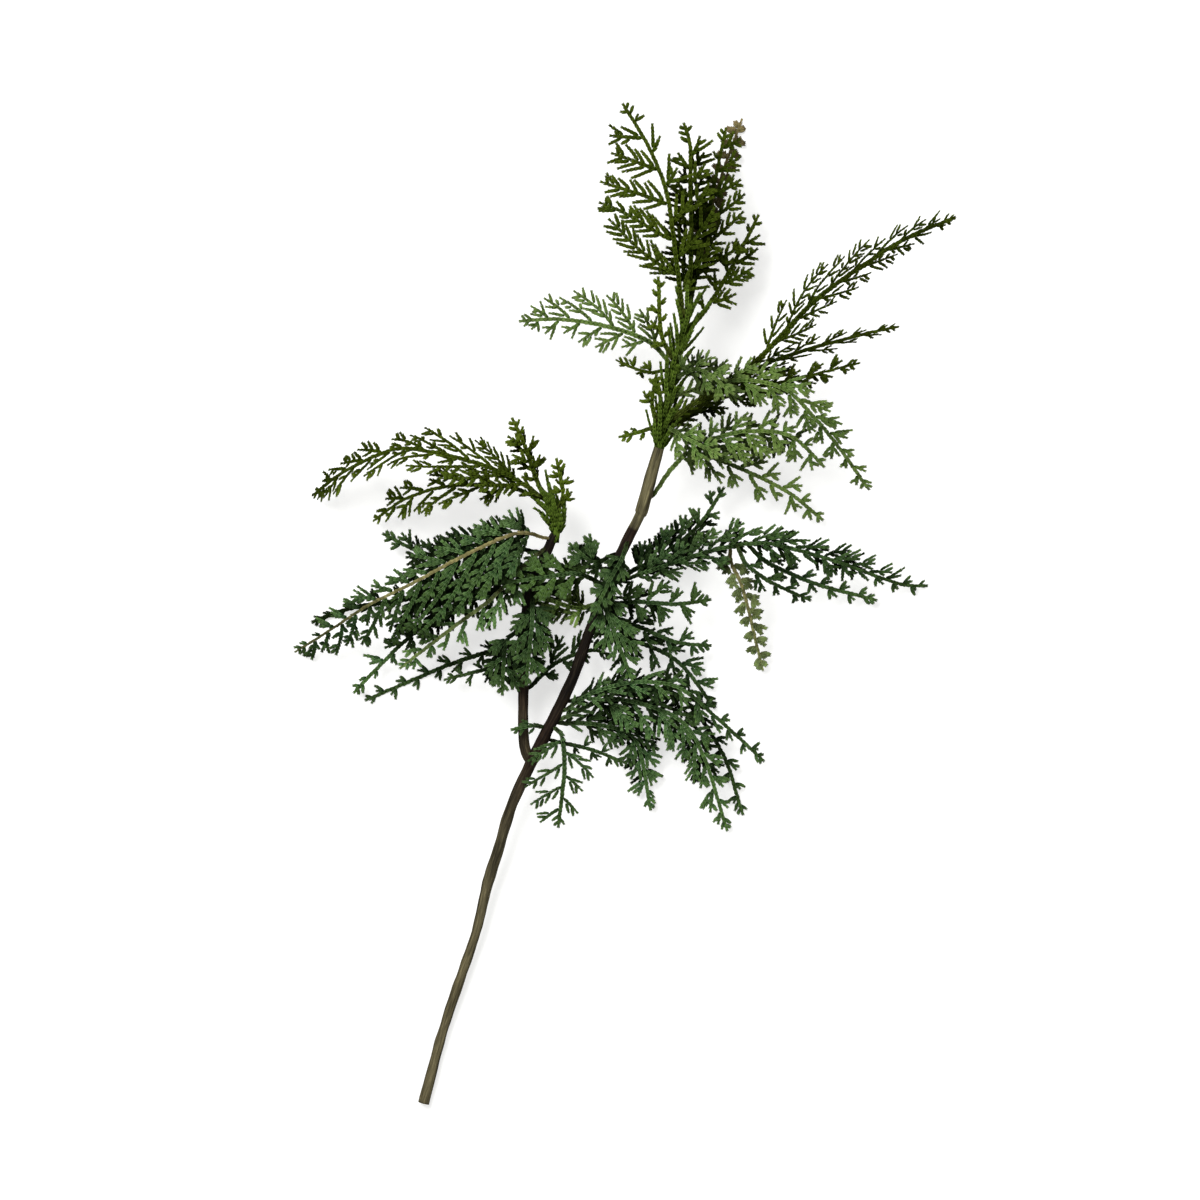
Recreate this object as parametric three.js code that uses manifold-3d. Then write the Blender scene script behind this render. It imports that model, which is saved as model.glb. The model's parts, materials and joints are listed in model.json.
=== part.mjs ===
// A cut thuja sprig lying on a flat surface: a forked woody stem, two green shoots that carry on
// from it, and the flat, fern-like sprays that grow from all three.
// Sizes are millimetres and +Z is up. The surface is Z = 0, the origin lies under the middle of the
// sprig's outline, and +Y runs from the cut end of the stem to the crown.
import * as THREE from "three";
import { mergeVertices } from "three/addons/utils/BufferGeometryUtils.js";
import Module from "manifold-3d";

const wasm = await Module();
wasm.setup();

// Clearances, and how finely the curves are followed
const SEAT_GAP = 0.3;
const TWIG_GAP = 0.45;
const CURVE_SAMPLES = 160;
const SAMPLE_STEP = 2;
const STEM_SIDES = 10;
const SHOOT_SIDES = 8;

// Cross-sections of the leafy twigs: half widths, half thicknesses
const ROOT_HALF = 0.5;
const RIB_HALF = 1.25;
const RIB_TIP_HALF = 0.85;
const BRANCHLET_HALF = 1.05;
const TWIG_HALF = 0.5;
const RIB_THICK = 0.75;
const TWIG_THICK = 0.5;
const FLOOR_ROOM = 0.55;

// Lengths over which a rib widens from its root, and the share a branchlet loses towards its end
const RIB_FLARE = 4;
const RIB_FIRST_EDGE = 5;
const BRANCHLET_TAPER = 0.3;

// Lengths and angles of the leafy twigs
const RIB_TIP = 7;
const BRANCHLET_TIP = 5;
const SHORTEST_BRANCHLET = 3.5;
const SHORTEST_TWIG = 2;
const TWIG_PITCH = 4.5;
const TWIG_ANGLE = 30;
const BRANCHLET_CURL = 0.5;

// How far the lengths and angles are drawn from their usual values
const BRANCHLET_SHARE = [0.72, 1.15];
const TWIG_SHARE = [0.8, 1.15];
const LEAN = 6;

// A spray's outline: how long its first branchlet is, how fast they grow and how round it ends, and
// how a branchlet's twigs shorten along it
const OUTLINE = { first: 0.6, growth: 1.7, rounding: 0.6 };
const TWIG_FIRST = 1.1;
const TWIG_LOSS = 0.6;

// The wood: centre line, and radius at each of its points
const MAIN_STEM = {
  line: [
    [-101, -250, 2.9], [-92, -216, 4.2], [-83, -188.5, 6], [-74.5, -163.5, 8], [-68.5, -138.5, 10.5],
    [-63, -121, 12.5], [-57, -101, 15], [-47, -78.5, 18], [-37, -58.5, 21], [-26, -36, 24],
    [-17, -11, 27], [-8.5, 11.5, 30], [0.5, 31.5, 33], [8, 46.5, 35], [8.6, 48, 35.2], [13, 64, 36.5],
    [17.5, 80, 38],
  ],
  radii: [2.9, 2.5, 2.7, 2.35, 2.9, 2.9, 2.8, 3.0, 2.9, 2.8, 2.7, 2.65, 2.7, 2.6, 3.25, 3.2, 2.6],
};
const SIDE_STEM = {
  line: [
    [-44, -73, 18.6], [-46.5, -77, 17.4], [-49.3, -72, 17.6], [-50.5, -62, 18.5], [-50.5, -46, 20],
    [-50.5, -20, 23.5], [-47.5, 6, 27], [-40, 25, 30], [-34.5, 37, 31.5],
  ],
  radii: [2.0, 2.5, 2.75, 2.7, 2.65, 2.6, 2.5, 2.5, 2.3],
};

// The green shoots that carry on from the wood
const LEADER_SHOOT = {
  line: [[17.7, 80.8, 38.1], [19.5, 92, 39], [22, 104, 40], [24, 116.5, 41], [27.5, 129, 42],
    [30.5, 141.5, 43], [32.5, 153, 44]],
  radii: [2.4, 2.15, 2.1, 2.1, 2.0, 1.95, 1.8],
};
const SIDE_SHOOT = {
  line: [[-34.2, 37.7, 31.6], [-33.9, 42.5, 32.4], [-36.5, 51, 33.5], [-40.4, 57.4, 34.4]],
  radii: [2.2, 2.6, 2.5, 1.8],
};

// Each spray: its name, the wood or spray that carries it, its rib's line, how far its branchlets
// reach to the left and right of the rib as it grows, and its roll about the rib at root and tip, in
// degrees, where 0 lies face up. sag is how far the branchlets' ends hang, pitch their spacing on
// one side, bare the length of rib with none, teeth the length of the twigs on a branchlet. A spray
// that carries on from the end of a shoot is its tip; one on another spray leaves its upper (1) or
// lower (-1) face at a length along it.
const SPRAYS = [
  { name: "crown_centre", on: "leader", tip: true, rib: [[33, 154, 44], [33.5, 184, 47], [33, 209, 46],
    [33, 230, 41], [30, 242, 36]], reach: [22, 26], roll: [8, -5], pitch: 14, bare: 5, teeth: 10 },
  { name: "crown_left", on: "leader", rib: [[30, 146, 45], [25, 180, 58], [21, 206, 62], [12, 229, 60],
    [-0.5, 250.5, 52]], reach: [60, 16], roll: [-4, -12], pitch: 18, bare: 8, teeth: 12, angle: [58, 48] },
  { name: "crown_right", on: "leader", rib: [[34, 150, 41.5], [39, 182, 39], [45.5, 214, 35],
    [51, 240, 28]], reach: [14, 36], roll: [10, 25], pitch: 13, teeth: 9, angle: [50, 42] },
  { name: "crown_tan", colour: "straw", on: "leader", rib: [[31.5, 143, 41], [38.5, 182, 27], [48, 214, 13],
    [59.5, 246.5, 0.8]], reach: [7, 8], roll: [20, 10], pitch: 7, bare: 36, teeth: 3 },
  { name: "crown_low", on: "leader", rib: [[30.5, 138, 42], [42, 151, 34], [55, 172.5, 26],
    [67.5, 197, 18]], reach: [14, 24], roll: [10, 15], pitch: 12, bare: 12, teeth: 8, angle: [40, 28] },
  { name: "leader_face", colour: "bright", on: "leader", rib: [[20.5, 123, 41], [12, 133, 44],
    [-9.5, 140.5, 46], [-32, 144, 42], [-52, 143.5, 34]], reach: [20, 32], roll: [5, -12], pitch: 11,
    bare: 9, teeth: 8, angle: [42, 36] },
  { name: "leader_upright", on: "leader", rib: [[23, 125, 43], [18.5, 137, 49], [17, 164, 54]],
    reach: [8, 6], roll: [20, 0], pitch: 9, bare: 6, teeth: 4.5 },
  { name: "leader_curl", on: "leader", rib: [[21, 119, 40], [11, 118, 38], [-3.5, 123.5, 35]],
    reach: [6, 7], roll: [-40, -50], pitch: 8, bare: 6, teeth: 4 },
  { name: "leader_small", on: "leader", rib: [[16.5, 91, 38], [8, 88, 37], [-2, 85.5, 34]], reach: [6, 6],
    roll: [20, 30], pitch: 8, bare: 5, teeth: 4 },
  { name: "leader_tuft", on: "leader", rib: [[18, 92, 41], [14, 102, 45], [16, 116, 48]], reach: [8, 6],
    roll: [30, 10], pitch: 8, bare: 5, teeth: 4.5 },
  { name: "right_long", on: "leader", rib: [[21.5, 94, 41], [38, 104, 46], [59.5, 117, 50],
    [76.5, 133.5, 51], [95, 153, 48], [116.5, 169, 41], [140.5, 184.5, 32], [166, 196, 20]],
    reach: [40, 30], roll: [35, 50], pitch: 15, bare: 58, teeth: 9, angle: [30, 20] },
  { name: "right_second", on: "leader", rib: [[20.8, 92, 37], [38, 101, 37], [67.5, 120, 37], [88, 128, 36],
    [118, 136.5, 32], [137, 141, 26]], reach: [20, 26], roll: [45, 60], pitch: 15, bare: 46, teeth: 6,
    angle: [24, 16] },
  { name: "right_third", on: "leader", rib: [[20.3, 89.5, 36], [54, 107, 28], [82.5, 114, 25],
    [100.5, 118.5, 22], [118, 123, 17]], reach: [20, 20], roll: [25, 45], pitch: 12, bare: 16, teeth: 7,
    angle: [34, 24] },
  { name: "right_hanging", colour: "bright", on: "leader", rib: [[19.2, 88, 40], [40, 84, 43], [60, 88, 44],
    [82.5, 86, 41], [100, 71, 31]], reach: [14, 30], roll: [0, 10], pitch: 12, bare: 12, teeth: 8,
    angle: [48, 34] },
  { name: "right_droop", colour: "bright", on: "leader", rib: [[23, 106, 43], [53, 113, 60],
    [78.5, 109, 62], [95, 94, 54], [108, 79, 42], [122.5, 59.5, 27]], reach: [22, 22], roll: [15, 25],
    pitch: 12, bare: 20, teeth: 8, angle: [40, 28] },
  { name: "right_low", colour: "bright", on: "main", rib: [[14, 56, 35], [25, 71, 31], [35, 77.5, 29],
    [58, 70, 26], [82.5, 58, 18], [100, 44.5, 8]], reach: [17, 21], roll: [15, 10], pitch: 12, bare: 22,
    teeth: 8, angle: [42, 30] },
  { name: "leader_front", colour: "bright", on: "leader", rib: [[24.5, 115, 44], [38, 118, 63],
    [54, 106, 71]], reach: [14, 18], roll: [10, 10], pitch: 11, bare: 7, teeth: 7 },
  { name: "leader_apron", colour: "bright", on: "leader", rib: [[19.8, 91, 42], [30, 85, 52], [48, 76, 54]],
    reach: [13, 19], roll: [0, 15], pitch: 11, bare: 6, teeth: 7 },

  { name: "left_upper", on: "side", rib: [[-43, 58.5, 36], [-57.5, 66, 45], [-76.5, 73, 52],
    [-95.5, 77.5, 52], [-114.5, 79, 45], [-139, 69, 28], [-156.5, 57, 9]], reach: [40, 34], roll: [40, 45],
    pitch: 12, bare: 10, teeth: 9, angle: [34, 24] },
  { name: "left_under", on: "side", rib: [[-41.5, 55.5, 32], [-60, 61, 34], [-87, 61, 32], [-109, 55, 22],
    [-126, 44, 9]], reach: [26, 26], roll: [25, 35], pitch: 12, bare: 10, teeth: 8, angle: [34, 26] },
  { name: "left_upright", on: "side", tip: true, rib: [[-41.5, 58.5, 35], [-44.5, 66, 39], [-50, 82, 50],
    [-55.5, 94, 56]], reach: [16, 12], roll: [20, 10], pitch: 11, bare: 6, teeth: 7 },
  { name: "side_tuft", on: "side", rib: [[-35.5, 48, 34], [-30.5, 57, 41], [-33.5, 74, 46]], reach: [7, 7],
    roll: [10, 0], pitch: 8, bare: 5, teeth: 4 },
  { name: "left_fan", on: "side_stem", rib: [[-36.5, 34, 34], [-54, 37, 50], [-79.5, 26, 57],
    [-104, 13, 52], [-127.5, 1.5, 39], [-146.5, -10.5, 22], [-165.5, -22, 4]], reach: [58, 20],
    roll: [-5, -25], pitch: 10.5, bare: 12, teeth: 9, angle: [48, 30], sag: 6 },
  { name: "left_fan_low", on: "side_stem", rib: [[-38.5, 29, 33], [-51, 20, 41], [-67, 4, 42],
    [-86, -10, 35], [-112, -30, 20]], reach: [22, 30], roll: [0, -15], pitch: 12, bare: 12, teeth: 9,
    angle: [40, 28] },
  { name: "left_fork", on: "side_stem", rib: [[-41, 22.5, 29], [-64, 13, 32], [-92, -3, 26],
    [-111.5, -18, 18], [-136, -42.5, 5]], reach: [14, 16], roll: [10, 0], pitch: 13, bare: 18, teeth: 8,
    angle: [34, 22] },
  { name: "left_back", on: "side_stem", rib: [[-39, 27, 28], [-70, 32, 20], [-97, 27, 15], [-121, 37, 10]],
    reach: [18, 20], roll: [5, 0], pitch: 12, bare: 16, teeth: 8, angle: [36, 24] },
  { name: "left_dark", on: "side_stem", rib: [[-43, 17, 27], [-77, 11, 14], [-112, 4, 7], [-137, 0, 4],
    [-157, -7, 1]], reach: [12, 14], roll: [-10, 0], pitch: 13, bare: 20, teeth: 7, angle: [30, 20],
    sag: 0 },
  { name: "left_low", on: "side_stem", rib: [[-51, -18, 23], [-68, -22, 13], [-85, -27.5, 4.6],
    [-93, -30.5, 2], [-101, -34, 0.9], [-108, -37, 0.75], [-115, -40, 0.75], [-122.5, -43.2, 0.75],
    [-130, -46.5, 0.75]], reach: [9, 11], roll: [0, 0], pitch: 12, bare: 12, teeth: 5, angle: [30, 20],
    sag: 0 },
  { name: "left_twig", on: "side_stem", rib: [[-51.5, -25, 23], [-67, -30, 21], [-90, -36, 14]],
    reach: [10, 9], roll: [20, 30], pitch: 10, bare: 10, teeth: 5 },
  { name: "left_hanging", on: "side_stem", rib: [[-51.5, -10, 26], [-59, -18, 31], [-61, -43, 32]],
    reach: [20, 18], roll: [0, 0], pitch: 9, bare: 7, teeth: 7 },
  { name: "fork_cover", on: "side_stem", rib: [[-47, 8, 30], [-46, -8, 38], [-49, -38, 36]],
    reach: [21, 18], roll: [0, 0], pitch: 9, bare: 6, teeth: 7 },
  { name: "fork_riser", on: "side_stem", rib: [[-48, -40, 20], [-34.5, -28, 14], [-17, -21.5, 12],
    [-6, -24, 10]], reach: [18, 10], roll: [0, 10], pitch: 12, bare: 8, teeth: 8 },

  { name: "centre_front", on: "main", rib: [[-10, 9, 32], [-11, 5, 42], [-5, -12, 46], [4, -36, 41]],
    reach: [21, 17], roll: [-5, 0], pitch: 10, bare: 6, teeth: 9, angle: [36, 28] },
  { name: "centre_left", on: "main", rib: [[-11.5, 12, 31], [-24, 17, 37], [-42, 15, 43], [-64, 12, 48]],
    reach: [17, 16], roll: [10, 0], pitch: 11, bare: 7, teeth: 8 },
  { name: "centre_upright", on: "main", rib: [[-3, 26, 33], [-15, 23, 38], [-27, 32, 40]], reach: [11, 15],
    roll: [0, 0], pitch: 9, bare: 6, teeth: 6 },
  { name: "centre_cap", on: "main", rib: [[1, 33, 34], [-1, 25, 43], [-8, 12, 50], [-15, -3, 52]],
    reach: [12, 12], roll: [0, 0], pitch: 9, bare: 8, teeth: 6 },
  { name: "centre_back", colour: "bright", on: "main", rib: [[-14, 1, 26], [-24, 0, 18], [-41, 5, 13],
    [-58, 8, 10]], reach: [17, 20], roll: [0, 0], pitch: 11, bare: 7, teeth: 8 },
  { name: "right_band", on: "main", rib: [[-5, 13, 31], [14, 19, 36], [38, 27, 42], [49.5, 30, 45],
    [72.5, 32, 45], [107, 23, 31], [137.5, 12.5, 11], [153, 11, 0.8]], reach: [28, 20], roll: [35, 20],
    pitch: 11, bare: 10, teeth: 9, angle: [32, 22] },
  { name: "right_rise", on: "main", rib: [[-3, 15.5, 28], [18, 26, 24], [37, 41, 22], [50, 60, 21]],
    reach: [20, 15], roll: [5, 0], pitch: 13, bare: 10, teeth: 8 },
  { name: "right_pale", on: "right_band", at: 62, face: -1, rib: [[53.5, 23, 36], [58.5, 12.5, 30],
    [62.5, -1, 22], [66.5, -17, 12], [70, -31, 5]], reach: [13, 12], roll: [5, 0], pitch: 9, bare: 7,
    teeth: 6, angle: [30, 24] },
  { name: "right_mid", on: "right_band", at: 66, face: 1, rib: [[61, 22, 48], [73, 13, 43], [93, 4, 31]],
    reach: [11, 13], roll: [25, 30], pitch: 11, bare: 8, teeth: 6, angle: [32, 24] },
  { name: "right_lower", on: "right_band", at: 70, face: -1, rib: [[70, 24, 36], [84, 17, 26],
    [100, 11, 17], [127, 4, 6]], reach: [11, 11], roll: [20, 10], pitch: 11, bare: 10, teeth: 6,
    angle: [32, 24] },

  { name: "heart_upper", on: "main", rib: [[-12, 2, 28], [6, 3, 32], [26, 2, 31], [43, 4, 26]],
    reach: [17, 16], roll: [10, 0], pitch: 12, bare: 6, teeth: 8 },
  { name: "heart_middle", on: "main", rib: [[-15, -4.5, 26], [6, -9, 22], [26, -17, 18], [43.5, -19, 12]],
    reach: [16, 17], roll: [0, 10], pitch: 12, bare: 7, teeth: 8 },
  { name: "heart_lower", on: "main", rib: [[-17.5, -11, 24], [4, -16, 13], [27, -27, 8], [45.5, -50, 3]],
    reach: [19, 18], roll: [0, 0], pitch: 12, bare: 12, teeth: 8, angle: [36, 26], sag: 0 },
  { name: "low_arch", on: "main", rib: [[-32.5, -50, 23], [-14.5, -42, 34], [6, -37, 40], [27.5, -40, 38],
    [47.5, -56, 25], [70.5, -77, 7]], reach: [14, 17], roll: [-25, -20], pitch: 12, bare: 12, teeth: 8,
    angle: [34, 24] },
  { name: "low_middle", on: "main", rib: [[-34, -54, 22], [-9, -46, 26], [12, -49, 28], [30, -58, 26],
    [41, -77, 18], [52, -112, 4]], reach: [18, 32], roll: [0, -10], pitch: 13, bare: 16, teeth: 9,
    angle: [40, 26], sag: 4 },
  { name: "low_outer", on: "main", rib: [[-30.5, -46, 22], [-2, -40, 18], [27, -44, 15], [49, -72, 8],
    [60, -104, 0.8]], reach: [13, 14], roll: [0, 0], pitch: 13, bare: 26, teeth: 8, angle: [32, 22],
    sag: 0 },
  { name: "low_front", on: "main", rib: [[-34.5, -57, 19], [-12, -59, 14], [6, -67, 11], [13.5, -101.5, 4]],
    reach: [19, 20], roll: [0, 5], pitch: 11, bare: 12, teeth: 8, angle: [36, 28], sag: 1 },
  { name: "low_face", on: "main", rib: [[-36.5, -59, 23], [-31, -65, 29], [-30, -83, 26], [-33, -110, 14]],
    reach: [20, 28], roll: [0, 0], pitch: 13, bare: 7, teeth: 7, angle: [60, 44] },
  { name: "fork_twig", on: "main", rib: [[-40, -60, 22], [-46, -59, 27], [-56, -61, 26]], reach: [4, 4],
    roll: [0, 0], pitch: 5, bare: 4, teeth: 2.4 },
  { name: "low_thin", on: "main", rib: [[-38.5, -65, 20], [-17, -71, 21], [1, -78, 17]], reach: [6, 7],
    roll: [30, 20], pitch: 9, bare: 10, teeth: 4 },
];
const USUAL = { pitch: 9, bare: 10, angle: [46, 32], sag: 2.5, tip: false, at: 0, face: 0 };

// Sprays that stand on the green shoots are olive and the rest deep green, unless they say otherwise.
const GREEN_WOOD = ["leader", "side"];
const COLOURS = {
  bark: 0x4a3f30, shoot: 0x4c5c22, olive: 0x2f3f14, bright: 0x3f5f28, deep: 0x1f3620, straw: 0x7a6a40,
};

// A smooth curve through points, read by its length, that runs straight on past both ends
class Line {
  constructor(points) {
    const ends = points.map((p) => new THREE.Vector3(...p));
    const curve = new THREE.CatmullRomCurve3(ends, false, "catmullrom", 0.5);
    const shares = Array.from({ length: CURVE_SAMPLES + 1 }, (_, i) => i / CURVE_SAMPLES);
    this.points = shares.map((share) => curve.getPoint(share));
    this.reached = [0];
    for (let i = 1; i <= CURVE_SAMPLES; i++)
      this.reached.push(this.reached[i - 1] + this.points[i].distanceTo(this.points[i - 1]));
    this.length = this.reached[CURVE_SAMPLES];
  }

  at(s) {
    let i = this.reached.findIndex((r) => r > s);
    if (i < 1) i = s < 0 ? 1 : CURVE_SAMPLES;
    const share = (s - this.reached[i - 1]) / (this.reached[i] - this.reached[i - 1]);
    return this.points[i - 1].clone().lerp(this.points[i], share);
  }

  tangent(s) {
    return this.at(s + 1).sub(this.at(s - 1)).normalize();
  }
}

// Repeatable numbers from 0 to 1, the same for the same seed
class Dice {
  constructor(seed) {
    this.state = (seed * 7919 + 104729) >>> 0;
    this.next();
  }

  next() {
    this.state = (Math.imul(this.state, 1664525) + 1013904223) >>> 0;
    return this.state / 4294967296;
  }
}

// The room that wood and twigs already take, as points with a radius
class Room {
  constructor() {
    this.taken = [];
  }

  add(owner, points, radius) {
    for (const p of points) this.taken.push({ owner, p, radius });
  }

  // True where a ball at p stays clear of the floor and of all that is taken, but for skipped owners.
  free(p, radius, skip) {
    if (p.z < FLOOR_ROOM) return false;
    return this.taken.every((t) => {
      if (skip.includes(t.owner)) return true;
      const least = radius + t.radius + TWIG_GAP;
      return Math.abs(p.x - t.p.x) > least || p.distanceToSquared(t.p) > least * least;
    });
  }
}

const radians = THREE.MathUtils.degToRad;
const lerp = THREE.MathUtils.lerp;
const UP = new THREE.Vector3(0, 0, 1);

// How long the branchlets are along a spray, from its first to its tip, as a share of its reach
const outline = (t) => Math.min(1, OUTLINE.first + OUTLINE.growth * t) * Math.pow(1 - t, OUTLINE.rounding);

// One spray: a bent sheet that u measures along the rib and v across it, to the right positive
class Spray {
  constructor(spec, index) {
    Object.assign(this, USUAL, spec);
    this.index = index;
    this.dice = new Dice(index + 1);
    this.branchlets = [];
  }

  // Seats the root on the wood or rib that carries it, and draws the rib's line from there.
  seat(wood, sprays) {
    const points = this.rib.map((p) => new THREE.Vector3(...p));
    if (this.tip) {
      const { line } = wood[this.on];
      points[0] = line.at(line.length).addScaledVector(line.tangent(line.length), SEAT_GAP);
    } else if (wood[this.on]) {
      const stem = wood[this.on];
      const near = stem.nearest(points[0]);
      const along = stem.line.tangent(near.s);
      const out = points[1].clone().sub(near.p);
      out.addScaledVector(along, -out.dot(along)).normalize();
      points[0] = near.p.addScaledVector(out, near.radius + SEAT_GAP + ROOT_HALF);
    } else {
      const carrier = sprays.find((s) => s.name === this.on);
      const { p, normal } = carrier.sheet(this.at, 0);
      points.unshift(p.addScaledVector(normal, this.face * (RIB_THICK * 2 + SEAT_GAP)));
    }
    this.line = new Line(points.map((p) => p.toArray()));
    this.length = this.line.length;
  }

  // The point of the sheet at (u, v), its normal there and the direction across it.
  sheet(u, v) {
    const along = this.line.tangent(u);
    const share = THREE.MathUtils.clamp(u / this.length, 0, 1);
    const roll = radians(lerp(this.roll[0], this.roll[1], share));
    const level = new THREE.Vector3().crossVectors(along, UP).normalize();
    const face = new THREE.Vector3().crossVectors(level, along);
    const across = level.clone().multiplyScalar(Math.cos(roll)).addScaledVector(face, -Math.sin(roll));
    const normal = new THREE.Vector3().crossVectors(across, along).normalize();
    const widest = Math.max(...this.reach);
    const p = this.line.at(u).addScaledVector(across, v);
    p.addScaledVector(normal, -this.sag * (v / widest) ** 2);
    const tilted = normal.addScaledVector(across, (2 * this.sag * v) / widest ** 2).normalize();
    return { p, normal: tilted };
  }

  ribHalf(u) {
    if (u < this.bare) return lerp(ROOT_HALF, RIB_HALF, Math.min(1, u / RIB_FLARE));
    return lerp(RIB_HALF, RIB_TIP_HALF, (u - this.bare) / (this.length - this.bare));
  }

  // The places along the rib where its branchlets begin and end.
  stations() {
    const leafy = this.length - this.bare - RIB_TIP;
    const count = Math.max(2, Math.round(leafy / (this.pitch / 2)));
    return Array.from({ length: count + 1 }, (_, i) => this.bare + (leafy * i) / count);
  }
}

// A branchlet or twig of a spray, as a path in (u, v): it starts on an edge and curls to the tip
class Twig {
  constructor(spray, start, angle, curl, length) {
    Object.assign(this, { spray, start, angle, curl, length, children: [] });
  }

  // (u, v) and heading after length s.
  along(s) {
    const steps = Math.max(1, Math.ceil(s / SAMPLE_STEP));
    let [u, v] = this.start;
    for (let i = 0; i < steps; i++) {
      const heading = this.angle - this.curl * ((i + 0.5) * s) / steps;
      u += (Math.cos(heading) * s) / steps;
      v += (Math.sin(heading) * s) / steps;
    }
    return { u, v, heading: this.angle - this.curl * s };
  }

  // Cuts the twig back to where it stays clear of all else. Returns false if too little is left.
  fit(room, radius, skip, shortest) {
    for (let s = SAMPLE_STEP; s <= this.length + 1e-9; s += SAMPLE_STEP / 2) {
      const { u, v } = this.along(s);
      if (!room.free(this.spray.sheet(u, v).p, radius, skip)) {
        this.length = s - SAMPLE_STEP / 2;
        break;
      }
    }
    return this.length >= shortest;
  }

  claim(room, owner, radius) {
    const count = Math.ceil(this.length / SAMPLE_STEP);
    const points = Array.from({ length: count + 1 }, (_, i) => {
      const { u, v } = this.along((this.length * i) / count);
      return this.spray.sheet(u, v).p;
    });
    room.add(owner, points, radius);
  }
}

// A length of wood or shoot: rings along its centre line, closed at both ends
class Stem {
  constructor({ line, radii }) {
    this.line = new Line(line);
    this.knots = line.map((p) => this.lengthAt(new THREE.Vector3(...p)));
    this.radii = radii;
  }

  lengthAt(point) {
    let best = 0;
    this.line.points.forEach((p, i) => {
      if (p.distanceTo(point) < this.line.points[best].distanceTo(point)) best = i;
    });
    return this.line.reached[best];
  }

  radius(s) {
    let i = this.knots.findIndex((k) => k > s);
    if (i < 1) i = s <= 0 ? 1 : this.knots.length - 1;
    const share = (s - this.knots[i - 1]) / (this.knots[i] - this.knots[i - 1]);
    return lerp(this.radii[i - 1], this.radii[i], THREE.MathUtils.clamp(share, 0, 1));
  }

  nearest(point) {
    const s = this.lengthAt(point);
    return { s, p: this.line.at(s), radius: this.radius(s) };
  }

  geometry(sides) {
    const positions = [];
    const faces = [];
    const across = new THREE.Vector3();
    const side = new THREE.Vector3();
    this.knots.forEach((s, ring) => {
      const centre = this.line.at(s);
      side.crossVectors(this.line.tangent(s), UP).normalize();
      across.crossVectors(side, this.line.tangent(s)).normalize();
      for (let i = 0; i < sides; i++) {
        const turn = (2 * Math.PI * i) / sides - Math.PI / 2;
        const p = centre.clone().addScaledVector(side, Math.cos(turn) * this.radii[ring]);
        p.addScaledVector(across, Math.sin(turn) * this.radii[ring]);
        positions.push(...p.toArray());
        if (ring === 0) continue;
        const next = (i + 1) % sides;
        const [a, b] = [(ring - 1) * sides + i, (ring - 1) * sides + next];
        const [c, d] = [ring * sides + i, ring * sides + next];
        faces.push(a, d, b, a, c, d);
      }
    });
    const last = (this.knots.length - 1) * sides;
    for (let i = 1; i < sides - 1; i++) {
      faces.push(0, i, i + 1);
      faces.push(last, last + i + 1, last + i);
    }
    return closed(positions, faces);
  }
}

function closed(positions, faces) {
  const geometry = new THREE.BufferGeometry();
  geometry.setAttribute("position", new THREE.Float32BufferAttribute(positions, 3));
  geometry.setIndex(faces);
  return geometry;
}

// Grows every spray: all the ribs first, then the branchlets, then the twigs on them.
function grow(wood) {
  const sprays = SPRAYS.map((spec, i) => new Spray(spec, i));
  const room = new Room();
  for (const [name, stem] of Object.entries(wood))
    for (let s = 0; s <= stem.line.length; s += SAMPLE_STEP / 2)
      room.add(name, [stem.line.at(s)], stem.radius(s));
  for (const spray of sprays) {
    spray.seat(wood, sprays);
    for (let u = 0; u <= spray.length; u += SAMPLE_STEP)
      room.add(spray.name, [spray.line.at(u)], RIB_HALF);
  }
  for (const spray of sprays) growBranchlets(spray, room);
  for (const spray of sprays) growTwigs(spray, room);
  return sprays;
}

function growBranchlets(spray, room) {
  const stations = spray.stations();
  for (let k = 0; k < stations.length - 1; k++) {
    const side = (k + spray.index) % 2 ? 1 : -1;
    const u = (stations[k] + stations[k + 1]) / 2;
    const t = (u - spray.bare) / (spray.length - spray.bare);
    const reach = spray.reach[side < 0 ? 0 : 1] * outline(t);
    const length = Math.max(reach * lerp(...BRANCHLET_SHARE, spray.dice.next()), SHORTEST_BRANCHLET + 0.5);
    const angle = radians(lerp(spray.angle[0], spray.angle[1], t) + lerp(-LEAN, LEAN, spray.dice.next()));
    const curl = radians(BRANCHLET_CURL);
    const twig = new Twig(spray, [u, side * spray.ribHalf(u)], side * angle, side * curl, length);
    const owner = spray.name + "/" + k;
    if (!twig.fit(room, BRANCHLET_HALF, [spray.name], SHORTEST_BRANCHLET)) continue;
    twig.claim(room, owner, BRANCHLET_HALF);
    spray.branchlets.push(Object.assign(twig, { owner, segment: k, side }));
  }
}

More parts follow.
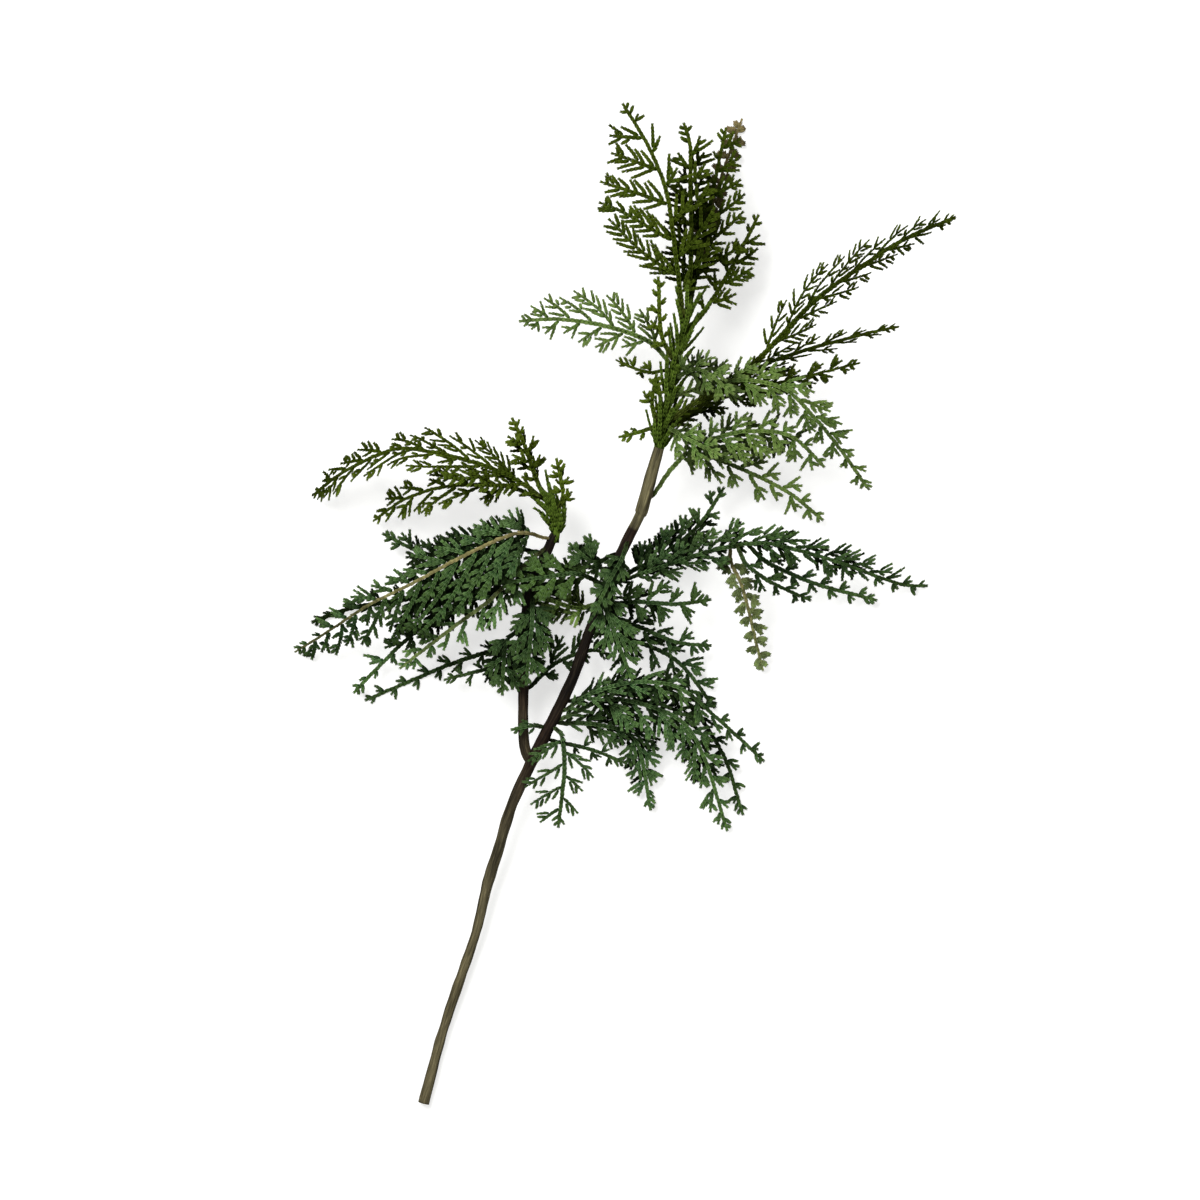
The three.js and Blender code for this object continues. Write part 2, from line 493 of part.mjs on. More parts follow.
function growTwigs(spray, room) {
  for (const branchlet of spray.branchlets) {
    const leafy = branchlet.length - BRANCHLET_TIP;
    const count = Math.max(0, Math.round(leafy / TWIG_PITCH));
    const step = Math.max(leafy, 0) / Math.max(count, 1);
    branchlet.cuts = Array.from({ length: count + 1 }, (_, i) => step * i);
    for (let j = 0; j < count; j++) {
      const side = (j + branchlet.segment) % 2 ? 1 : -1;
      const s = (branchlet.cuts[j] + branchlet.cuts[j + 1]) / 2;
      const share = s / branchlet.length;
      const length = spray.teeth * (TWIG_FIRST - TWIG_LOSS * share) * lerp(...TWIG_SHARE, spray.dice.next());
      const angle = radians(TWIG_ANGLE + lerp(-LEAN, LEAN, spray.dice.next()));
      const from = branchlet.along(s);
      const edge = side * BRANCHLET_HALF;
      const start = [from.u - Math.sin(from.heading) * edge, from.v + Math.cos(from.heading) * edge];
      const twig = new Twig(spray, start, from.heading + side * angle, 0, length);
      const owner = branchlet.owner + "/" + j;
      if (!twig.fit(room, TWIG_HALF, [branchlet.owner], SHORTEST_TWIG)) continue;
      twig.claim(room, owner, TWIG_HALF);
      branchlet.children.push(Object.assign(twig, { segment: j, side }));
    }
  }
}

// The solid of a spray: flat strips that share their edges, so rib, branchlets and twigs are one body
class Sheet {
  constructor(spray) {
    this.spray = spray;
    this.positions = [];
    this.faces = [];
    this.open = new Map();
  }

  // Adds the point (u, v), above and below the sheet's middle, and returns its number.
  point(u, v, thick) {
    const { p, normal } = this.spray.sheet(u, v);
    this.positions.push(...p.clone().addScaledVector(normal, thick).toArray());
    this.positions.push(...p.addScaledVector(normal, -thick).toArray());
    return this.positions.length / 6 - 1;
  }

  // One triangle of the sheet, anticlockwise seen from above, on both of its faces.
  triangle(a, b, c) {
    this.faces.push(2 * a, 2 * b, 2 * c, 2 * a + 1, 2 * c + 1, 2 * b + 1);
    for (const [from, to] of [[a, b], [b, c], [c, a]]) {
      if (this.open.delete(to + "," + from)) continue;
      this.open.set(from + "," + to, [from, to]);
    }
  }

  // A strip from the edge left-right to the next pair of points.
  strip(left, right, nextLeft, nextRight) {
    this.triangle(left, right, nextRight);
    this.triangle(left, nextRight, nextLeft);
  }

  // The walls along every edge that no second triangle shares.
  close() {
    for (const [from, to] of this.open.values())
      this.faces.push(2 * from + 1, 2 * to + 1, 2 * to, 2 * from + 1, 2 * to, 2 * from);
    return closed(this.positions, this.faces);
  }
}

function sprayGeometry(spray) {
  const sheet = new Sheet(spray);
  const pair = (u, half) => [sheet.point(u, -half, RIB_THICK), sheet.point(u, half, RIB_THICK)];
  const stations = spray.stations();
  const whole = [0, Math.min(RIB_FIRST_EDGE, spray.bare / 2), ...stations];
  const edges = whole.map((u) => pair(u, spray.ribHalf(u)));
  for (let i = 1; i < edges.length; i++) sheet.strip(...edges[i - 1], ...edges[i]);
  const tip = sheet.point(spray.length, 0, TWIG_THICK);
  sheet.triangle(...edges[edges.length - 1], tip);
  for (const branchlet of spray.branchlets) {
    const edge = branchlet.side < 0 ? 0 : 1;
    addBranchlet(sheet, branchlet, edges[branchlet.segment + 2][edge], edges[branchlet.segment + 3][edge]);
  }
  return sheet.close();
}

// The branchlet's strip starts on the edge between two points of the rib, near and far from its root.
function addBranchlet(sheet, branchlet, near, far) {
  let [left, right] = branchlet.side < 0 ? [near, far] : [far, near];
  const rails = [[left, right]];
  for (const s of branchlet.cuts.slice(1)) {
    const { u, v, heading } = branchlet.along(s);
    const half = BRANCHLET_HALF * (1 - (BRANCHLET_TAPER * s) / branchlet.length);
    const across = [-Math.sin(heading) * half, Math.cos(heading) * half];
    const next = [-1, 1].map((edge) => sheet.point(u + edge * across[0], v + edge * across[1], TWIG_THICK));
    sheet.strip(left, right, ...next);
    rails.push(next);
    [left, right] = next;
  }
  const end = branchlet.along(branchlet.length);
  sheet.triangle(left, right, sheet.point(end.u, end.v, TWIG_THICK));
  for (const twig of branchlet.children) {
    const [inner, outer] = [rails[twig.segment], rails[twig.segment + 1]];
    const tip = twig.along(twig.length);
    const point = sheet.point(tip.u, tip.v, TWIG_THICK);
    if (twig.side < 0) sheet.triangle(inner[0], outer[0], point);
    else sheet.triangle(outer[1], inner[1], point);
  }
}

// A closed mesh as a manifold-3d solid.
function solid(geometry) {
  const merged = mergeVertices(geometry, 1e-4);
  return new wasm.Manifold(new wasm.Mesh({
    numProp: 3,
    vertProperties: merged.attributes.position.array,
    triVerts: new Uint32Array(merged.index.array),
  }));
}

function joined(...geometries) {
  const mesh = geometries.map(solid).reduce((a, b) => a.add(b)).getMesh();
  return closed(Array.from(mesh.vertProperties), Array.from(mesh.triVerts));
}

function named(name, geometry, colour) {
  geometry.computeVertexNormals();
  const material = new THREE.MeshStandardMaterial({ color: COLOURS[colour], roughness: 0.75, metalness: 0 });
  const mesh = new THREE.Mesh(geometry, material);
  mesh.name = name;
  return mesh;
}

const wood = {
  main: new Stem(MAIN_STEM),
  side_stem: new Stem(SIDE_STEM),
  leader: new Stem(LEADER_SHOOT),
  side: new Stem(SIDE_SHOOT),
};
const stems = [wood.main, wood.side_stem].map((stem) => stem.geometry(STEM_SIDES));
const sprig = new THREE.Group();
sprig.add(named("woody_stem", joined(...stems), "bark"));
sprig.add(named("leader_shoot", wood.leader.geometry(SHOOT_SIDES), "shoot"));
sprig.add(named("side_shoot", wood.side.geometry(SHOOT_SIDES), "shoot"));
for (const spray of grow(wood)) {
  const usual = GREEN_WOOD.includes(spray.on) ? "olive" : "deep";
  sprig.add(named(spray.name, sprayGeometry(spray), spray.colour ?? usual));
}

export default sprig;
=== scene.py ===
"""Dresses a cut thuja sprig: bark on its forked stem, and whorls of scale leaves on every spray.

The sprays grow here by the same rule and from the same values as the solids of the model, so each
leafy twig lies where its solid does. Plans are in millimetres; everything in Blender is in metres.
"""

import sys
import json
import logging
import math
from bisect import bisect_right
from dataclasses import dataclass, field
from enum import Enum
from typing import Iterable, Sequence

import bpy
import numpy as np
from mathutils import Matrix, Vector, noise

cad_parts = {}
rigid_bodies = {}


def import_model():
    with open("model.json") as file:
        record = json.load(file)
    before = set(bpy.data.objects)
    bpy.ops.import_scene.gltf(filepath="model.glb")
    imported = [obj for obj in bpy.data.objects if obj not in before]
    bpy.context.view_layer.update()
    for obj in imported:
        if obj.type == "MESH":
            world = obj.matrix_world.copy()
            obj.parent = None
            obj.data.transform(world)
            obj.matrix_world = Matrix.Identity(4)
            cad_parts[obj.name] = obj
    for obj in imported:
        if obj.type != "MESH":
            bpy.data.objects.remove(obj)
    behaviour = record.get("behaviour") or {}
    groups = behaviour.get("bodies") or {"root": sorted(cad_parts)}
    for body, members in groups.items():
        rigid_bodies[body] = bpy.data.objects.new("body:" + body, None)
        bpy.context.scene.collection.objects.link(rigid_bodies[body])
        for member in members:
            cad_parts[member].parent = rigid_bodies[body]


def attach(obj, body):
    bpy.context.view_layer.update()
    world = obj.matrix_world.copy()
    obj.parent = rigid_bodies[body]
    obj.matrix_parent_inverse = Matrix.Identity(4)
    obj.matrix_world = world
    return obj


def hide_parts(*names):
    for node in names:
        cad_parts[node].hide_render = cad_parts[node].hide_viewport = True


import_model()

LOG = logging.getLogger("sprig")
MM = 0.001
ROOT_BODY = "root"

# Clearances and cross-sections of the leafy twigs, as the solids have them
SEAT_GAP = 0.3
TWIG_GAP = 0.45
CURVE_SAMPLES = 160
SAMPLE_STEP = 2.0
HALF_STEP = SAMPLE_STEP / 2
ROOT_HALF = 0.5
ROOT_LENGTH = 4.0
RIB_HALF = 1.25
RIB_TIP_HALF = 0.85
BRANCHLET_HALF = 1.05
TWIG_HALF = 0.5
RIB_THICK = 0.75
FLOOR_ROOM = 0.55
ROUNDING_ROOM = 1e-9

# Lengths and angles of the leafy twigs, as the solids have them
RIB_TIP = 7.0
BRANCHLET_TIP = 5.0
SHORTEST_BRANCHLET = 3.5
LEAST_BRANCHLET = SHORTEST_BRANCHLET + 0.5
SHORTEST_TWIG = 2.0
TWIG_PITCH = 4.5
TWIG_ANGLE = 30.0
BRANCHLET_CURL = 0.5
BRANCHLET_SHARE = (0.72, 1.15)
TWIG_SHARE = (0.8, 1.15)
LEAN = 6.0
TWIG_FIRST = 1.1
TWIG_LOSS = 0.6

# A spray's outline: how long its first branchlet is, how fast they grow and how round it ends
FIRST_SHARE = 0.6
GROWTH_RATE = 1.7
ROUNDING = 0.6

# The finer twigs that only the leaves show, opposite each twig of the solids
FINE_GAP = 0.0
FINE_EDGE = 0.4
FINE_SHORTEST = 2.2
FINE_LIFT = 0.5
LIFT_LENGTH = 4.0
FINE_SHARE = (0.8, 1.1)
FINE_SHIFT = 0.6
DENSE_SHARE = 0.2

# The finer twigs at each rib's and branchlet's end
END_PITCH = 1.7
END_FIRST = 0.3
END_LEAN = 7.0
END_LENGTH = 4.6
END_LOSS = 0.8

# The short twigs along the bare foot of some ribs
FOOT_CLEAR = 3.5
FOOT_PITCH = 2.6
FOOT_ANGLE = 34.0
FOOT_LENGTHS = (4.5, 8.0)

# The branchlets of the under layers that fill dense sprays, and the fine twigs on them
UNDER_LIFT = -2.4
UNDER_HALF = 0.8
UNDER_SHARE = (0.6, 0.95)
UNDER_EXTENT = 0.72
# The under layers' leaves are painted darker by this share, as painted shade
UNDER_PAINTED_SHADE = 0.5
UNDER_FIRST = 1.5
UNDER_LAST = 2.0
UNDER_PITCH = TWIG_PITCH / 2

Point = tuple[float, float, float]
Array = np.ndarray
UP = np.array([0.0, 0.0, 1.0])


class Tone(Enum):
    """The foliage colours of the sprig, each the name of its slot."""

    OLIVE = "olive_leaf"
    BRIGHT = "bright_leaf"
    DEEP = "deep_leaf"
    STRAW = "straw_leaf"
    SHOOT = "shoot"


@dataclass(frozen=True)
class SprayPlan:
    """One spray: what carries it, its rib's line, and how its branchlets reach, roll and sag."""

    name: str
    carrier: str
    tone: Tone
    rib: tuple[Point, ...]
    reach: tuple[float, float]
    roll: tuple[float, float]
    teeth: float
    pitch: float = 9.0
    bare: float = 10.0
    sag: float = 2.5
    at: float = 0.0
    angle: tuple[float, float] = (46.0, 32.0)
    face: int = 0
    tip: bool = False


@dataclass(frozen=True)
class WoodPlan:
    """A length of wood or green shoot: its centre line, and its radius at each point of it."""

    line: tuple[Point, ...]
    radii: tuple[float, ...]


MAIN_STEM = WoodPlan(
    line=((-101, -250, 2.9), (-92, -216, 4.2), (-83, -188.5, 6), (-74.5, -163.5, 8), (-68.5, -138.5, 10.5),
          (-63, -121, 12.5), (-57, -101, 15), (-47, -78.5, 18), (-37, -58.5, 21), (-26, -36, 24),
          (-17, -11, 27), (-8.5, 11.5, 30), (0.5, 31.5, 33), (8, 46.5, 35), (8.6, 48, 35.2),
          (13, 64, 36.5), (17.5, 80, 38)),
    radii=(2.9, 2.5, 2.7, 2.35, 2.9, 2.9, 2.8, 3.0, 2.9, 2.8, 2.7, 2.65, 2.7, 2.6, 3.25, 3.2, 2.6),
)
SIDE_STEM = WoodPlan(
    line=((-44, -73, 18.6), (-46.5, -77, 17.4), (-49.3, -72, 17.6), (-50.5, -62, 18.5), (-50.5, -46, 20),
          (-50.5, -20, 23.5), (-47.5, 6, 27), (-40, 25, 30), (-34.5, 37, 31.5)),
    radii=(2.0, 2.5, 2.75, 2.7, 2.65, 2.6, 2.5, 2.5, 2.3),
)
LEADER_SHOOT = WoodPlan(
    line=((17.7, 80.8, 38.1), (19.5, 92, 39), (22, 104, 40), (24, 116.5, 41), (27.5, 129, 42),
          (30.5, 141.5, 43), (32.5, 153, 44)),
    radii=(2.4, 2.15, 2.1, 2.1, 2.0, 1.95, 1.8),
)
SIDE_SHOOT = WoodPlan(
    line=((-34.2, 37.7, 31.6), (-33.9, 42.5, 32.4), (-36.5, 51, 33.5), (-40.4, 57.4, 34.4)),
    radii=(2.2, 2.6, 2.5, 1.8),
)

SPRAY_PLANS: tuple[SprayPlan, ...] = (
    SprayPlan("crown_centre", "leader", Tone.OLIVE, ((33, 154, 44), (33.5, 184, 47), (33, 209, 46),
              (33, 230, 41), (30, 242, 36)), (22, 26), (8, -5), 10, pitch=14, bare=5, tip=True),
    SprayPlan("crown_left", "leader", Tone.OLIVE, ((30, 146, 45), (25, 180, 58), (21, 206, 62),
              (12, 229, 60), (-0.5, 250.5, 52)), (60, 16), (-4, -12), 12, pitch=18, bare=8,
              angle=(58, 48)),
    SprayPlan("crown_right", "leader", Tone.OLIVE, ((34, 150, 41.5), (39, 182, 39), (45.5, 214, 35),
              (51, 240, 28)), (14, 36), (10, 25), 9, pitch=13, angle=(50, 42)),
    SprayPlan("crown_tan", "leader", Tone.STRAW, ((31.5, 143, 41), (38.5, 182, 27), (48, 214, 13),
              (59.5, 246.5, 0.8)), (7, 8), (20, 10), 3, pitch=7, bare=36),
    SprayPlan("crown_low", "leader", Tone.OLIVE, ((30.5, 138, 42), (42, 151, 34), (55, 172.5, 26),
              (67.5, 197, 18)), (14, 24), (10, 15), 8, pitch=12, bare=12, angle=(40, 28)),
    SprayPlan("leader_face", "leader", Tone.BRIGHT, ((20.5, 123, 41), (12, 133, 44), (-9.5, 140.5, 46),
              (-32, 144, 42), (-52, 143.5, 34)), (20, 32), (5, -12), 8, pitch=11, bare=9, angle=(42, 36)),
    SprayPlan("leader_upright", "leader", Tone.OLIVE, ((23, 125, 43), (18.5, 137, 49), (17, 164, 54)),
              (8, 6), (20, 0), 4.5, pitch=9, bare=6),
    SprayPlan("leader_curl", "leader", Tone.OLIVE, ((21, 119, 40), (11, 118, 38), (-3.5, 123.5, 35)),
              (6, 7), (-40, -50), 4, pitch=8, bare=6),
    SprayPlan("leader_small", "leader", Tone.OLIVE, ((16.5, 91, 38), (8, 88, 37), (-2, 85.5, 34)), (6, 6),
              (20, 30), 4, pitch=8, bare=5),
    SprayPlan("leader_tuft", "leader", Tone.OLIVE, ((18, 92, 41), (14, 102, 45), (16, 116, 48)), (8, 6),
              (30, 10), 4.5, pitch=8, bare=5),
    SprayPlan("right_long", "leader", Tone.OLIVE, ((21.5, 94, 41), (38, 104, 46), (59.5, 117, 50),
              (76.5, 133.5, 51), (95, 153, 48), (116.5, 169, 41), (140.5, 184.5, 32), (166, 196, 20)),
              (40, 30), (35, 50), 9, pitch=15, bare=58, angle=(30, 20)),
    SprayPlan("right_second", "leader", Tone.OLIVE, ((20.8, 92, 37), (38, 101, 37), (67.5, 120, 37),
              (88, 128, 36), (118, 136.5, 32), (137, 141, 26)), (20, 26), (45, 60), 6, pitch=15, bare=46,
              angle=(24, 16)),
    SprayPlan("right_third", "leader", Tone.OLIVE, ((20.3, 89.5, 36), (54, 107, 28), (82.5, 114, 25),
              (100.5, 118.5, 22), (118, 123, 17)), (20, 20), (25, 45), 7, pitch=12, bare=16,
              angle=(34, 24)),
    SprayPlan("right_hanging", "leader", Tone.BRIGHT, ((19.2, 88, 40), (40, 84, 43), (60, 88, 44),
              (82.5, 86, 41), (100, 71, 31)), (14, 30), (0, 10), 8, pitch=12, bare=12, angle=(48, 34)),
    SprayPlan("right_droop", "leader", Tone.BRIGHT, ((23, 106, 43), (53, 113, 60), (78.5, 109, 62),
              (95, 94, 54), (108, 79, 42), (122.5, 59.5, 27)), (22, 22), (15, 25), 8, pitch=12, bare=20,
              angle=(40, 28)),
    SprayPlan("right_low", "main", Tone.BRIGHT, ((14, 56, 35), (25, 71, 31), (35, 77.5, 29), (58, 70, 26),
              (82.5, 58, 18), (100, 44.5, 8)), (17, 21), (15, 10), 8, pitch=12, bare=22, angle=(42, 30)),
    SprayPlan("leader_front", "leader", Tone.BRIGHT, ((24.5, 115, 44), (38, 118, 63), (54, 106, 71)),
              (14, 18), (10, 10), 7, pitch=11, bare=7),
    SprayPlan("leader_apron", "leader", Tone.BRIGHT, ((19.8, 91, 42), (30, 85, 52), (48, 76, 54)),
              (13, 19), (0, 15), 7, pitch=11, bare=6),
    SprayPlan("left_upper", "side", Tone.OLIVE, ((-43, 58.5, 36), (-57.5, 66, 45), (-76.5, 73, 52),
              (-95.5, 77.5, 52), (-114.5, 79, 45), (-139, 69, 28), (-156.5, 57, 9)), (40, 34), (40, 45),
              9, pitch=12, bare=10, angle=(34, 24)),
    SprayPlan("left_under", "side", Tone.OLIVE, ((-41.5, 55.5, 32), (-60, 61, 34), (-87, 61, 32),
              (-109, 55, 22), (-126, 44, 9)), (26, 26), (25, 35), 8, pitch=12, bare=10, angle=(34, 26)),
    SprayPlan("left_upright", "side", Tone.OLIVE, ((-41.5, 58.5, 35), (-44.5, 66, 39), (-50, 82, 50),
              (-55.5, 94, 56)), (16, 12), (20, 10), 7, pitch=11, bare=6, tip=True),
    SprayPlan("side_tuft", "side", Tone.OLIVE, ((-35.5, 48, 34), (-30.5, 57, 41), (-33.5, 74, 46)),
              (7, 7), (10, 0), 4, pitch=8, bare=5),
    SprayPlan("left_fan", "side_stem", Tone.DEEP, ((-36.5, 34, 34), (-54, 37, 50), (-79.5, 26, 57),
              (-104, 13, 52), (-127.5, 1.5, 39), (-146.5, -10.5, 22), (-165.5, -22, 4)), (58, 20),
              (-5, -25), 9, pitch=10.5, bare=12, sag=6, angle=(48, 30)),
    SprayPlan("left_fan_low", "side_stem", Tone.DEEP, ((-38.5, 29, 33), (-51, 20, 41), (-67, 4, 42),
              (-86, -10, 35), (-112, -30, 20)), (22, 30), (0, -15), 9, pitch=12, bare=12, angle=(40, 28)),
    SprayPlan("left_fork", "side_stem", Tone.DEEP, ((-41, 22.5, 29), (-64, 13, 32), (-92, -3, 26),
              (-111.5, -18, 18), (-136, -42.5, 5)), (14, 16), (10, 0), 8, pitch=13, bare=18,
              angle=(34, 22)),
    SprayPlan("left_back", "side_stem", Tone.DEEP, ((-39, 27, 28), (-70, 32, 20), (-97, 27, 15),
              (-121, 37, 10)), (18, 20), (5, 0), 8, pitch=12, bare=16, angle=(36, 24)),
    SprayPlan("left_dark", "side_stem", Tone.DEEP, ((-43, 17, 27), (-77, 11, 14), (-112, 4, 7),
              (-137, 0, 4), (-157, -7, 1)), (12, 14), (-10, 0), 7, pitch=13, bare=20, sag=0,
              angle=(30, 20)),
    SprayPlan("left_low", "side_stem", Tone.DEEP, ((-51, -18, 23), (-68, -22, 13), (-85, -27.5, 4.6),
              (-93, -30.5, 2), (-101, -34, 0.9), (-108, -37, 0.75), (-115, -40, 0.75),
              (-122.5, -43.2, 0.75), (-130, -46.5, 0.75)), (9, 11), (0, 0), 5, pitch=12, bare=12, sag=0,
              angle=(30, 20)),
    SprayPlan("left_twig", "side_stem", Tone.DEEP, ((-51.5, -25, 23), (-67, -30, 21), (-90, -36, 14)),
              (10, 9), (20, 30), 5, pitch=10, bare=10),
    SprayPlan("left_hanging", "side_stem", Tone.DEEP, ((-51.5, -10, 26), (-59, -18, 31), (-61, -43, 32)),
              (20, 18), (0, 0), 7, pitch=9, bare=7),
    SprayPlan("fork_cover", "side_stem", Tone.DEEP, ((-47, 8, 30), (-46, -8, 38), (-49, -38, 36)),
              (21, 18), (0, 0), 7, pitch=9, bare=6),
    SprayPlan("fork_riser", "side_stem", Tone.DEEP, ((-48, -40, 20), (-34.5, -28, 14), (-17, -21.5, 12),
              (-6, -24, 10)), (18, 10), (0, 10), 8, pitch=12, bare=8),
    SprayPlan("centre_front", "main", Tone.DEEP, ((-10, 9, 32), (-11, 5, 42), (-5, -12, 46),
              (4, -36, 41)), (21, 17), (-5, 0), 9, pitch=10, bare=6, angle=(36, 28)),
    SprayPlan("centre_left", "main", Tone.DEEP, ((-11.5, 12, 31), (-24, 17, 37), (-42, 15, 43),
              (-64, 12, 48)), (17, 16), (10, 0), 8, pitch=11, bare=7),
    SprayPlan("centre_upright", "main", Tone.DEEP, ((-3, 26, 33), (-15, 23, 38), (-27, 32, 40)), (11, 15),
              (0, 0), 6, pitch=9, bare=6),
    SprayPlan("centre_cap", "main", Tone.DEEP, ((1, 33, 34), (-1, 25, 43), (-8, 12, 50), (-15, -3, 52)),
              (12, 12), (0, 0), 6, pitch=9, bare=8),
    SprayPlan("centre_back", "main", Tone.BRIGHT, ((-14, 1, 26), (-24, 0, 18), (-41, 5, 13),
              (-58, 8, 10)), (17, 20), (0, 0), 8, pitch=11, bare=7),
    SprayPlan("right_band", "main", Tone.DEEP, ((-5, 13, 31), (14, 19, 36), (38, 27, 42), (49.5, 30, 45),
              (72.5, 32, 45), (107, 23, 31), (137.5, 12.5, 11), (153, 11, 0.8)), (28, 20), (35, 20), 9,
              pitch=11, bare=10, angle=(32, 22)),
    SprayPlan("right_rise", "main", Tone.DEEP, ((-3, 15.5, 28), (18, 26, 24), (37, 41, 22), (50, 60, 21)),
              (20, 15), (5, 0), 8, pitch=13, bare=10),
    SprayPlan("right_pale", "right_band", Tone.DEEP, ((53.5, 23, 36), (58.5, 12.5, 30), (62.5, -1, 22),
              (66.5, -17, 12), (70, -31, 5)), (13, 12), (5, 0), 6, pitch=9, bare=7, at=62, angle=(30, 24),
              face=-1),
    SprayPlan("right_mid", "right_band", Tone.DEEP, ((61, 22, 48), (73, 13, 43), (93, 4, 31)), (11, 13),
              (25, 30), 6, pitch=11, bare=8, at=66, angle=(32, 24), face=1),
    SprayPlan("right_lower", "right_band", Tone.DEEP, ((70, 24, 36), (84, 17, 26), (100, 11, 17),
              (127, 4, 6)), (11, 11), (20, 10), 6, pitch=11, bare=10, at=70, angle=(32, 24), face=-1),
    SprayPlan("heart_upper", "main", Tone.DEEP, ((-12, 2, 28), (6, 3, 32), (26, 2, 31), (43, 4, 26)),
              (17, 16), (10, 0), 8, pitch=12, bare=6),
    SprayPlan("heart_middle", "main", Tone.DEEP, ((-15, -4.5, 26), (6, -9, 22), (26, -17, 18),
              (43.5, -19, 12)), (16, 17), (0, 10), 8, pitch=12, bare=7),
    SprayPlan("heart_lower", "main", Tone.DEEP, ((-17.5, -11, 24), (4, -16, 13), (27, -27, 8),
              (45.5, -50, 3)), (19, 18), (0, 0), 8, pitch=12, bare=12, sag=0, angle=(36, 26)),
    SprayPlan("low_arch", "main", Tone.DEEP, ((-32.5, -50, 23), (-14.5, -42, 34), (6, -37, 40),
              (27.5, -40, 38), (47.5, -56, 25), (70.5, -77, 7)), (14, 17), (-25, -20), 8, pitch=12,
              bare=12, angle=(34, 24)),
    SprayPlan("low_middle", "main", Tone.DEEP, ((-34, -54, 22), (-9, -46, 26), (12, -49, 28),
              (30, -58, 26), (41, -77, 18), (52, -112, 4)), (18, 32), (0, -10), 9, pitch=13, bare=16,
              sag=4, angle=(40, 26)),
    SprayPlan("low_outer", "main", Tone.DEEP, ((-30.5, -46, 22), (-2, -40, 18), (27, -44, 15),
              (49, -72, 8), (60, -104, 0.8)), (13, 14), (0, 0), 8, pitch=13, bare=26, sag=0,
              angle=(32, 22)),
    SprayPlan("low_front", "main", Tone.DEEP, ((-34.5, -57, 19), (-12, -59, 14), (6, -67, 11),
              (13.5, -101.5, 4)), (19, 20), (0, 5), 8, pitch=11, bare=12, sag=1, angle=(36, 28)),
    SprayPlan("low_face", "main", Tone.DEEP, ((-36.5, -59, 23), (-31, -65, 29), (-30, -83, 26),
              (-33, -110, 14)), (20, 28), (0, 0), 7, pitch=13, bare=7, angle=(60, 44)),
    SprayPlan("fork_twig", "main", Tone.DEEP, ((-40, -60, 22), (-46, -59, 27), (-56, -61, 26)), (4, 4),
              (0, 0), 2.4, pitch=5, bare=4),
    SprayPlan("low_thin", "main", Tone.DEEP, ((-38.5, -65, 20), (-17, -71, 21), (1, -78, 17)), (6, 7),
              (30, 20), 4, pitch=9, bare=10),
)

# How much lighter or darker than their tone some sprays are
TONE_SHIFTS: dict[str, float] = {
    "crown_left": -0.3, "crown_centre": -0.32, "crown_right": -0.26, "crown_low": -0.18,
    "leader_face": -0.2, "right_long": 0.1, "leader_front": -0.2, "left_fan_low": 0.6,
    "left_back": -0.45, "left_dark": -0.55, "left_low": -0.4, "left_twig": -0.45,
    "left_hanging": -0.4, "fork_cover": -0.38, "fork_riser": -0.4,
    "centre_back": 1.1, "centre_left": -0.3, "centre_upright": -0.38, "centre_cap": -0.33,
    "centre_front": -0.08, "right_rise": -0.35, "right_mid": -0.38, "right_pale": 0.5, "heart_upper": -0.42,
    "heart_middle": -0.38, "heart_lower": -0.18, "low_arch": 0.05, "low_outer": -0.3, "low_middle": 0.2,
    "low_front": -0.05, "low_face": -0.2, "low_thin": -0.35, "fork_twig": -0.35,
}

# How much the painted shade under dense foliage darkens the leaves of each tone
PAINTED_SHADE_DEPTHS: dict[Tone, float] = {Tone.OLIVE: 0.68, Tone.BRIGHT: 0.66, Tone.DEEP: 0.84, Tone.STRAW: 0.8}

# How far the finer twigs of each tone lean off, in degrees
FINE_ANGLES: dict[Tone, float] = {Tone.OLIVE: 37.0, Tone.BRIGHT: 33.0, Tone.DEEP: 28.0, Tone.STRAW: 30.0}

# How broad the leafy twigs of each tone are
PLUMPNESS: dict[Tone, float] = {Tone.OLIVE: 1.0, Tone.BRIGHT: 1.0, Tone.DEEP: 0.99, Tone.STRAW: 1.0}

# How many under layers of branchlets the dense sprays have
UNDER_LAYERS: dict[str, int] = {
    "crown_centre": 1, "left_fan": 2, "left_back": 1, "left_hanging": 2, "fork_cover": 2,
    "centre_front": 2, "centre_left": 3, "centre_upright": 3, "centre_cap": 3, "centre_back": 3,
    "right_band": 1, "low_arch": 1, "low_middle": 1, "low_front": 2, "leader_front": 2,
    "leader_apron": 1, "right_third": 1, "right_hanging": 1, "side_tuft": 1, "left_upright": 1,
    "right_rise": 2, "left_fork": 2,
    "left_fan_low": 1, "heart_upper": 1,
}

# How far along some sprays their under layers go, as a share of the leafy part
UNDER_EXTENTS: dict[str, float] = {
    "left_fan": 0.45, "low_arch": 0.4, "left_fork": 0.5, "left_fan_low": 0.3, "heart_upper": 0.4,
}

# How likely an opposite fine twig is on the outer part of some sprays. On the rest, each has one.
FINE_CHANCE: dict[str, float] = {
    "crown_left": 0.65, "crown_centre": 0.6, "crown_right": 0.7, "left_upper": 0.45, "left_under": 0.4,
    "left_fan": 0.45, "left_fan_low": 0.25, "left_fork": 0.3, "left_dark": 0.3, "left_low": 0.6,
    "heart_middle": 0.35, "heart_lower": 0.3, "low_outer": 0.5, "low_arch": 0.6, "low_middle": 0.6,
    "right_band": 0.7, "right_mid": 0.6, "right_lower": 0.6, "low_face": 0.4, "right_low": 0.8,
    "right_long": 0.55, "right_second": 0.6, "heart_upper": 0.6,
}

